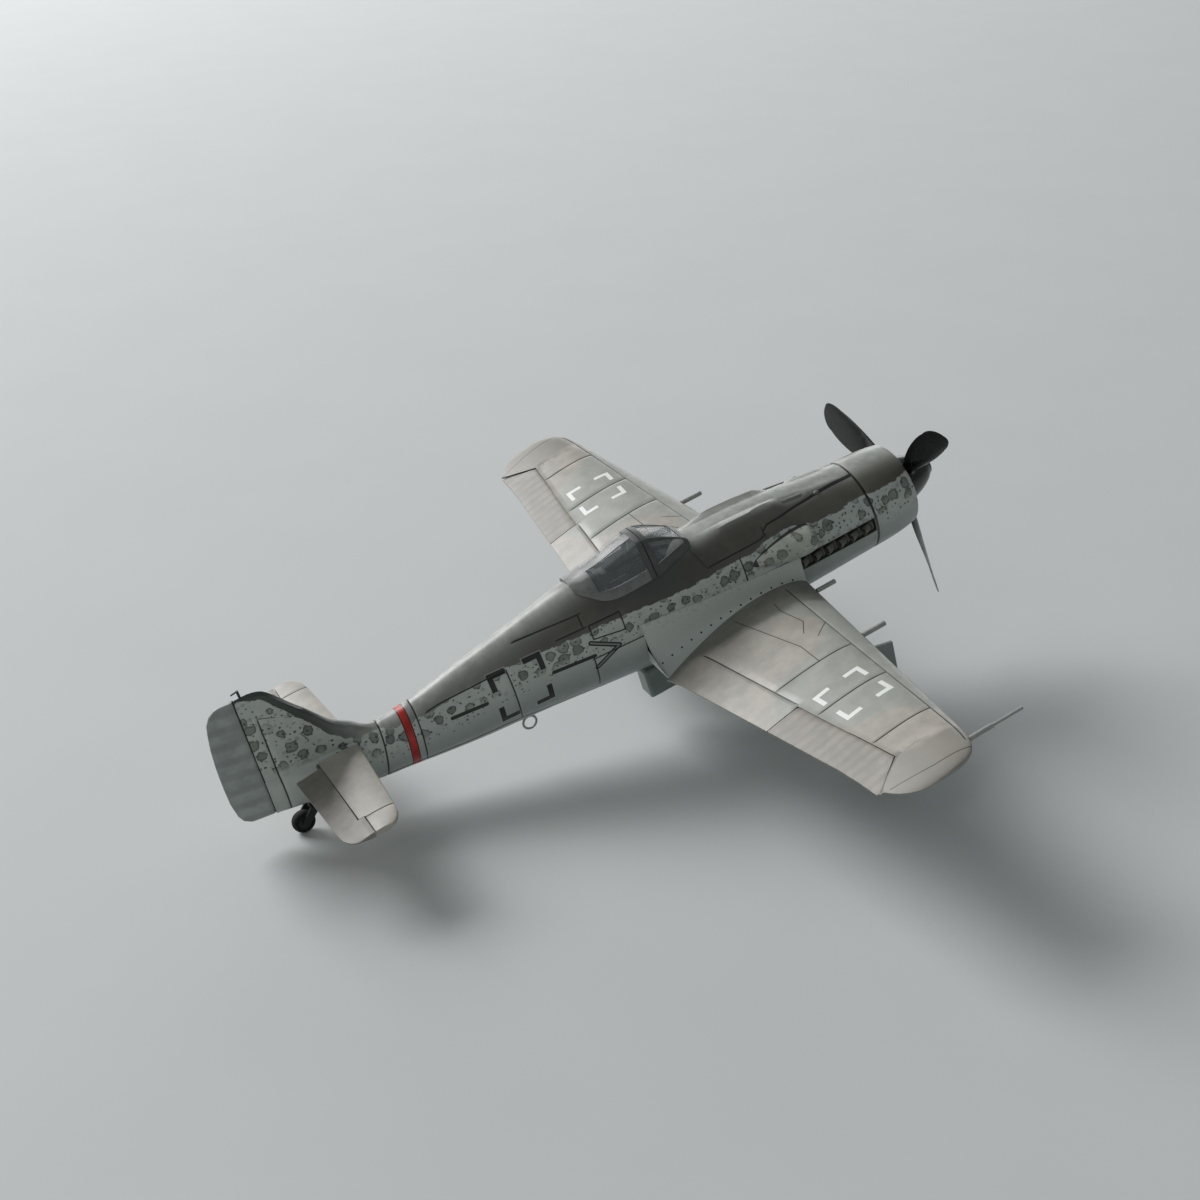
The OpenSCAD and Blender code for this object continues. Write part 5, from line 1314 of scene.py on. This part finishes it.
build("windscreen_pane", [can_patch(51.4, 58.5, 0.02, 1.98, 0.03, 0.4)], "airframe", M_GLASS, ("windscreen",))
build("hood_pane", [can_patch(60.6, 70.0, 0.02, 1.98, 0.03, 0.4)], "canopy_hood", M_GLASS, ("hood_glass",))
build("windscreen_frame", [can_patch(58.3, 59.3, -0.1, 2.1, -0.05, 0.45, gap=-0.1), can_patch(51.25, 52.1, -0.1, 2.1, -0.04, 0.3, gap=-0.1),
                           can_patch(51.6, 58.4, 0.44, 0.56, -0.05, 0.2), can_patch(51.6, 58.4, 1.44, 1.56, -0.05, 0.2),
                           can_patch(51.6, 58.4, -0.1, 0.09, -0.04, 0.3, gap=-0.1), can_patch(51.6, 58.4, 1.91, 2.1, -0.04, 0.3, gap=-0.1)],
      "airframe", M_FRAME, ("windscreen_arch",))
build("hood_front_hoop", [can_patch(59.5, 60.55, -0.1, 2.1, -0.06, 0.45)], "canopy_hood", M_FRAME, ("hood_hoop",))
build("hood_rails", [can_patch(60.5, 70.2, -0.1, 0.10, -0.05, 0.35), can_patch(60.5, 70.2, 1.90, 2.1, -0.05, 0.35),
                     can_patch(60.5, 70.2, 0.86, 1.14, -0.05, 0.25)], "canopy_hood", M_HOOD)
build("hood_tail", [can_patch(69.9, 73.6, -0.1, 2.1, -0.03, 0.45)], "canopy_hood", M_HOOD, ("hood_fairing",))

# ---------------------------------------------------------------- small detail
def bevel_box(s0, s1, y0, y1, z0, z1, b=0.25):
    V, F = [], []
    prof = [(s0 + b, z0), (s1 - b, z0), (s1, z0 + b), (s1, z1 - b), (s1 - b, z1), (s0 + b, z1), (s0, z1 - b), (s0, z0 + b)]
    n = len(prof)
    cs, cz = (s0 + s1) / 2, (z0 + z1) / 2
    for yy, ins in ((y0, b), (y0 + b, 0), (y1 - b, 0), (y1, b)):
        for q in prof:
            V.append(row(q[0] - math.copysign(min(ins, abs(q[0] - cs)), q[0] - cs), yy, q[1] - math.copysign(min(ins, abs(q[1] - cz)), q[1] - cz)))
    for i in range(3):
        for k in range(n):
            l = (k + 1) % n
            F.append((i * n + k, i * n + l, (i + 1) * n + l, (i + 1) * n + k))
    F.append(tuple(range(n))[::-1]); F.append(tuple(3 * n + k for k in range(n)))
    V = np.array(V)
    return V, flip_fix(V, F)


V, F, W = join([bevel_box(53.4, 65.8, -2.0, 2.0, -15.2, -9.3, 0.35), bevel_box(55.0, 64.4, -1.2, 1.2, -9.45, -8.9, 0.1)])
make("belly_rack_body", V, F, "airframe", M_RACK, ("belly_rack",), None, angle=30, orient=False)

# ---------------------------------------------------------------- carried-over CAD nodes
ASSIGN = {
    "elevator_torque_tube": M_STEEL, "rudder_hinge": M_HINGE, "aileron_pins": M_STEEL, "radiator_core": M_RAD, "nose_bulkhead": M_BULK, 
    "wing_root_guns": M_GUN, "outer_wing_guns": M_GUN, "pitot_tube": M_GUN, "propeller_hub": M_BLACK, "propeller_shaft": M_STEEL, "shaft_retainer": M_STEEL,
    "cockpit_tub": M_COCK, "pilot_seat": M_SEAT, "instrument_panel": M_PANEL, "control_stick": M_STICK, "headrest_armour": M_ARM, "aerial_stub": M_AER, "df_loop": M_LOOP,
    "gear_leg_left": M_LEG, "gear_leg_right": M_LEG, "gear_axle_left": M_STEEL, "gear_axle_right": M_STEEL, "gear_door_left": M_DOOR, "gear_door_right": M_DOOR,
    "wheel_hub_left": M_HUB, "wheel_hub_right": M_HUB, "tyre_left": M_TYRE, "tyre_right": M_TYRE, "tail_wheel_yoke": M_YOKE, "tail_wheel_hub": M_HUB, "tail_wheel_tyre": M_TYRE}
for nm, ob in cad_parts.items():
    if nm in ASSIGN:
        ob.data.materials.clear()
        ob.data.materials.append(ASSIGN[nm])
    elif not ob.hide_render:
        ob.data.materials.clear()
        ob.data.materials.append(M_UNDER)

# ---------------------------------------------------------------- room, light, camera
def floor():
    m = Mat("floor_pale")
    n = m.noise(0.03, 3.0, 0.5)
    c = m.mix(n.ss(0.3, 0.7), (0.57, 0.58, 0.575), (0.58, 0.59, 0.585))
    m.finish(c, 0.7, None, spec=0.3)
    me = bpy.data.meshes.new("floor")
    a, b = 6.0, 6.0
    me.from_pydata([(-a, -a, 0), (a, -a, 0), (a, b, 0), (-a, b, 0)], [], [(0, 1, 2, 3)])
    ob = bpy.data.objects.new("floor", me)
    me.materials.append(m.m)
    bpy.context.scene.collection.objects.link(ob)
    ob.location = (0, 0, -0.00002)


floor()


def area(name, loc, target, size, power, color=(1, 1, 1), size_y=None):
    L = bpy.data.lights.new(name, "AREA")
    L.shape = "RECTANGLE"
    L.size, L.size_y = size, size_y or size
    L.energy = power
    L.color = color
    o = bpy.data.objects.new(name, L)
    o.location = loc
    d = (Vector(target) - Vector(loc)).normalized()
    o.rotation_euler = d.to_track_quat("-Z", "Y").to_euler()
    bpy.context.scene.collection.objects.link(o)



area("key_window", (-0.9, 1.55, 1.35), (0, 0, 0.02), 1.5, 50.0, (0.98, 0.99, 1.0), 1.1)
area("back_window", (0.75, 2.0, 0.42), (0, 0, 0.04), 2.6, 13.0, (0.97, 0.99, 1.0), 0.75)
area("fill_left", (-1.2, -0.9, 1.0), (0, 0, 0.02), 1.2, 3.2, (0.96, 0.99, 1.0))
w = bpy.data.worlds.new("studio")
w.use_nodes = True
w.node_tree.nodes["Background"].inputs[0].default_value = (0.82, 0.90, 0.90, 1)
w.node_tree.nodes["Background"].inputs[1].default_value = 0.20
bpy.context.scene.world = w

cam = bpy.data.cameras.new("camera")
cam.sensor_width = 36.0
cam.sensor_fit = "HORIZONTAL"
cam.lens = 55.59
cam.clip_start, cam.clip_end = 0.01, 10
co = bpy.data.objects.new("camera", cam)
right, up, view = Vector((0.8918, -0.4504, -0.0424)), Vector((0.2418, 0.3954, 0.8861)), Vector((0.3823, 0.8005, -0.4615))
M3 = Matrix((right, up, -view)).transposed()
co.matrix_world = Matrix.Translation(Vector((-65.55 - CX, -256.64, 176.27)) * MM) @ M3.to_4x4()
bpy.context.scene.collection.objects.link(co)
bpy.context.scene.camera = co
bpy.context.scene.view_settings.view_transform = "Standard"
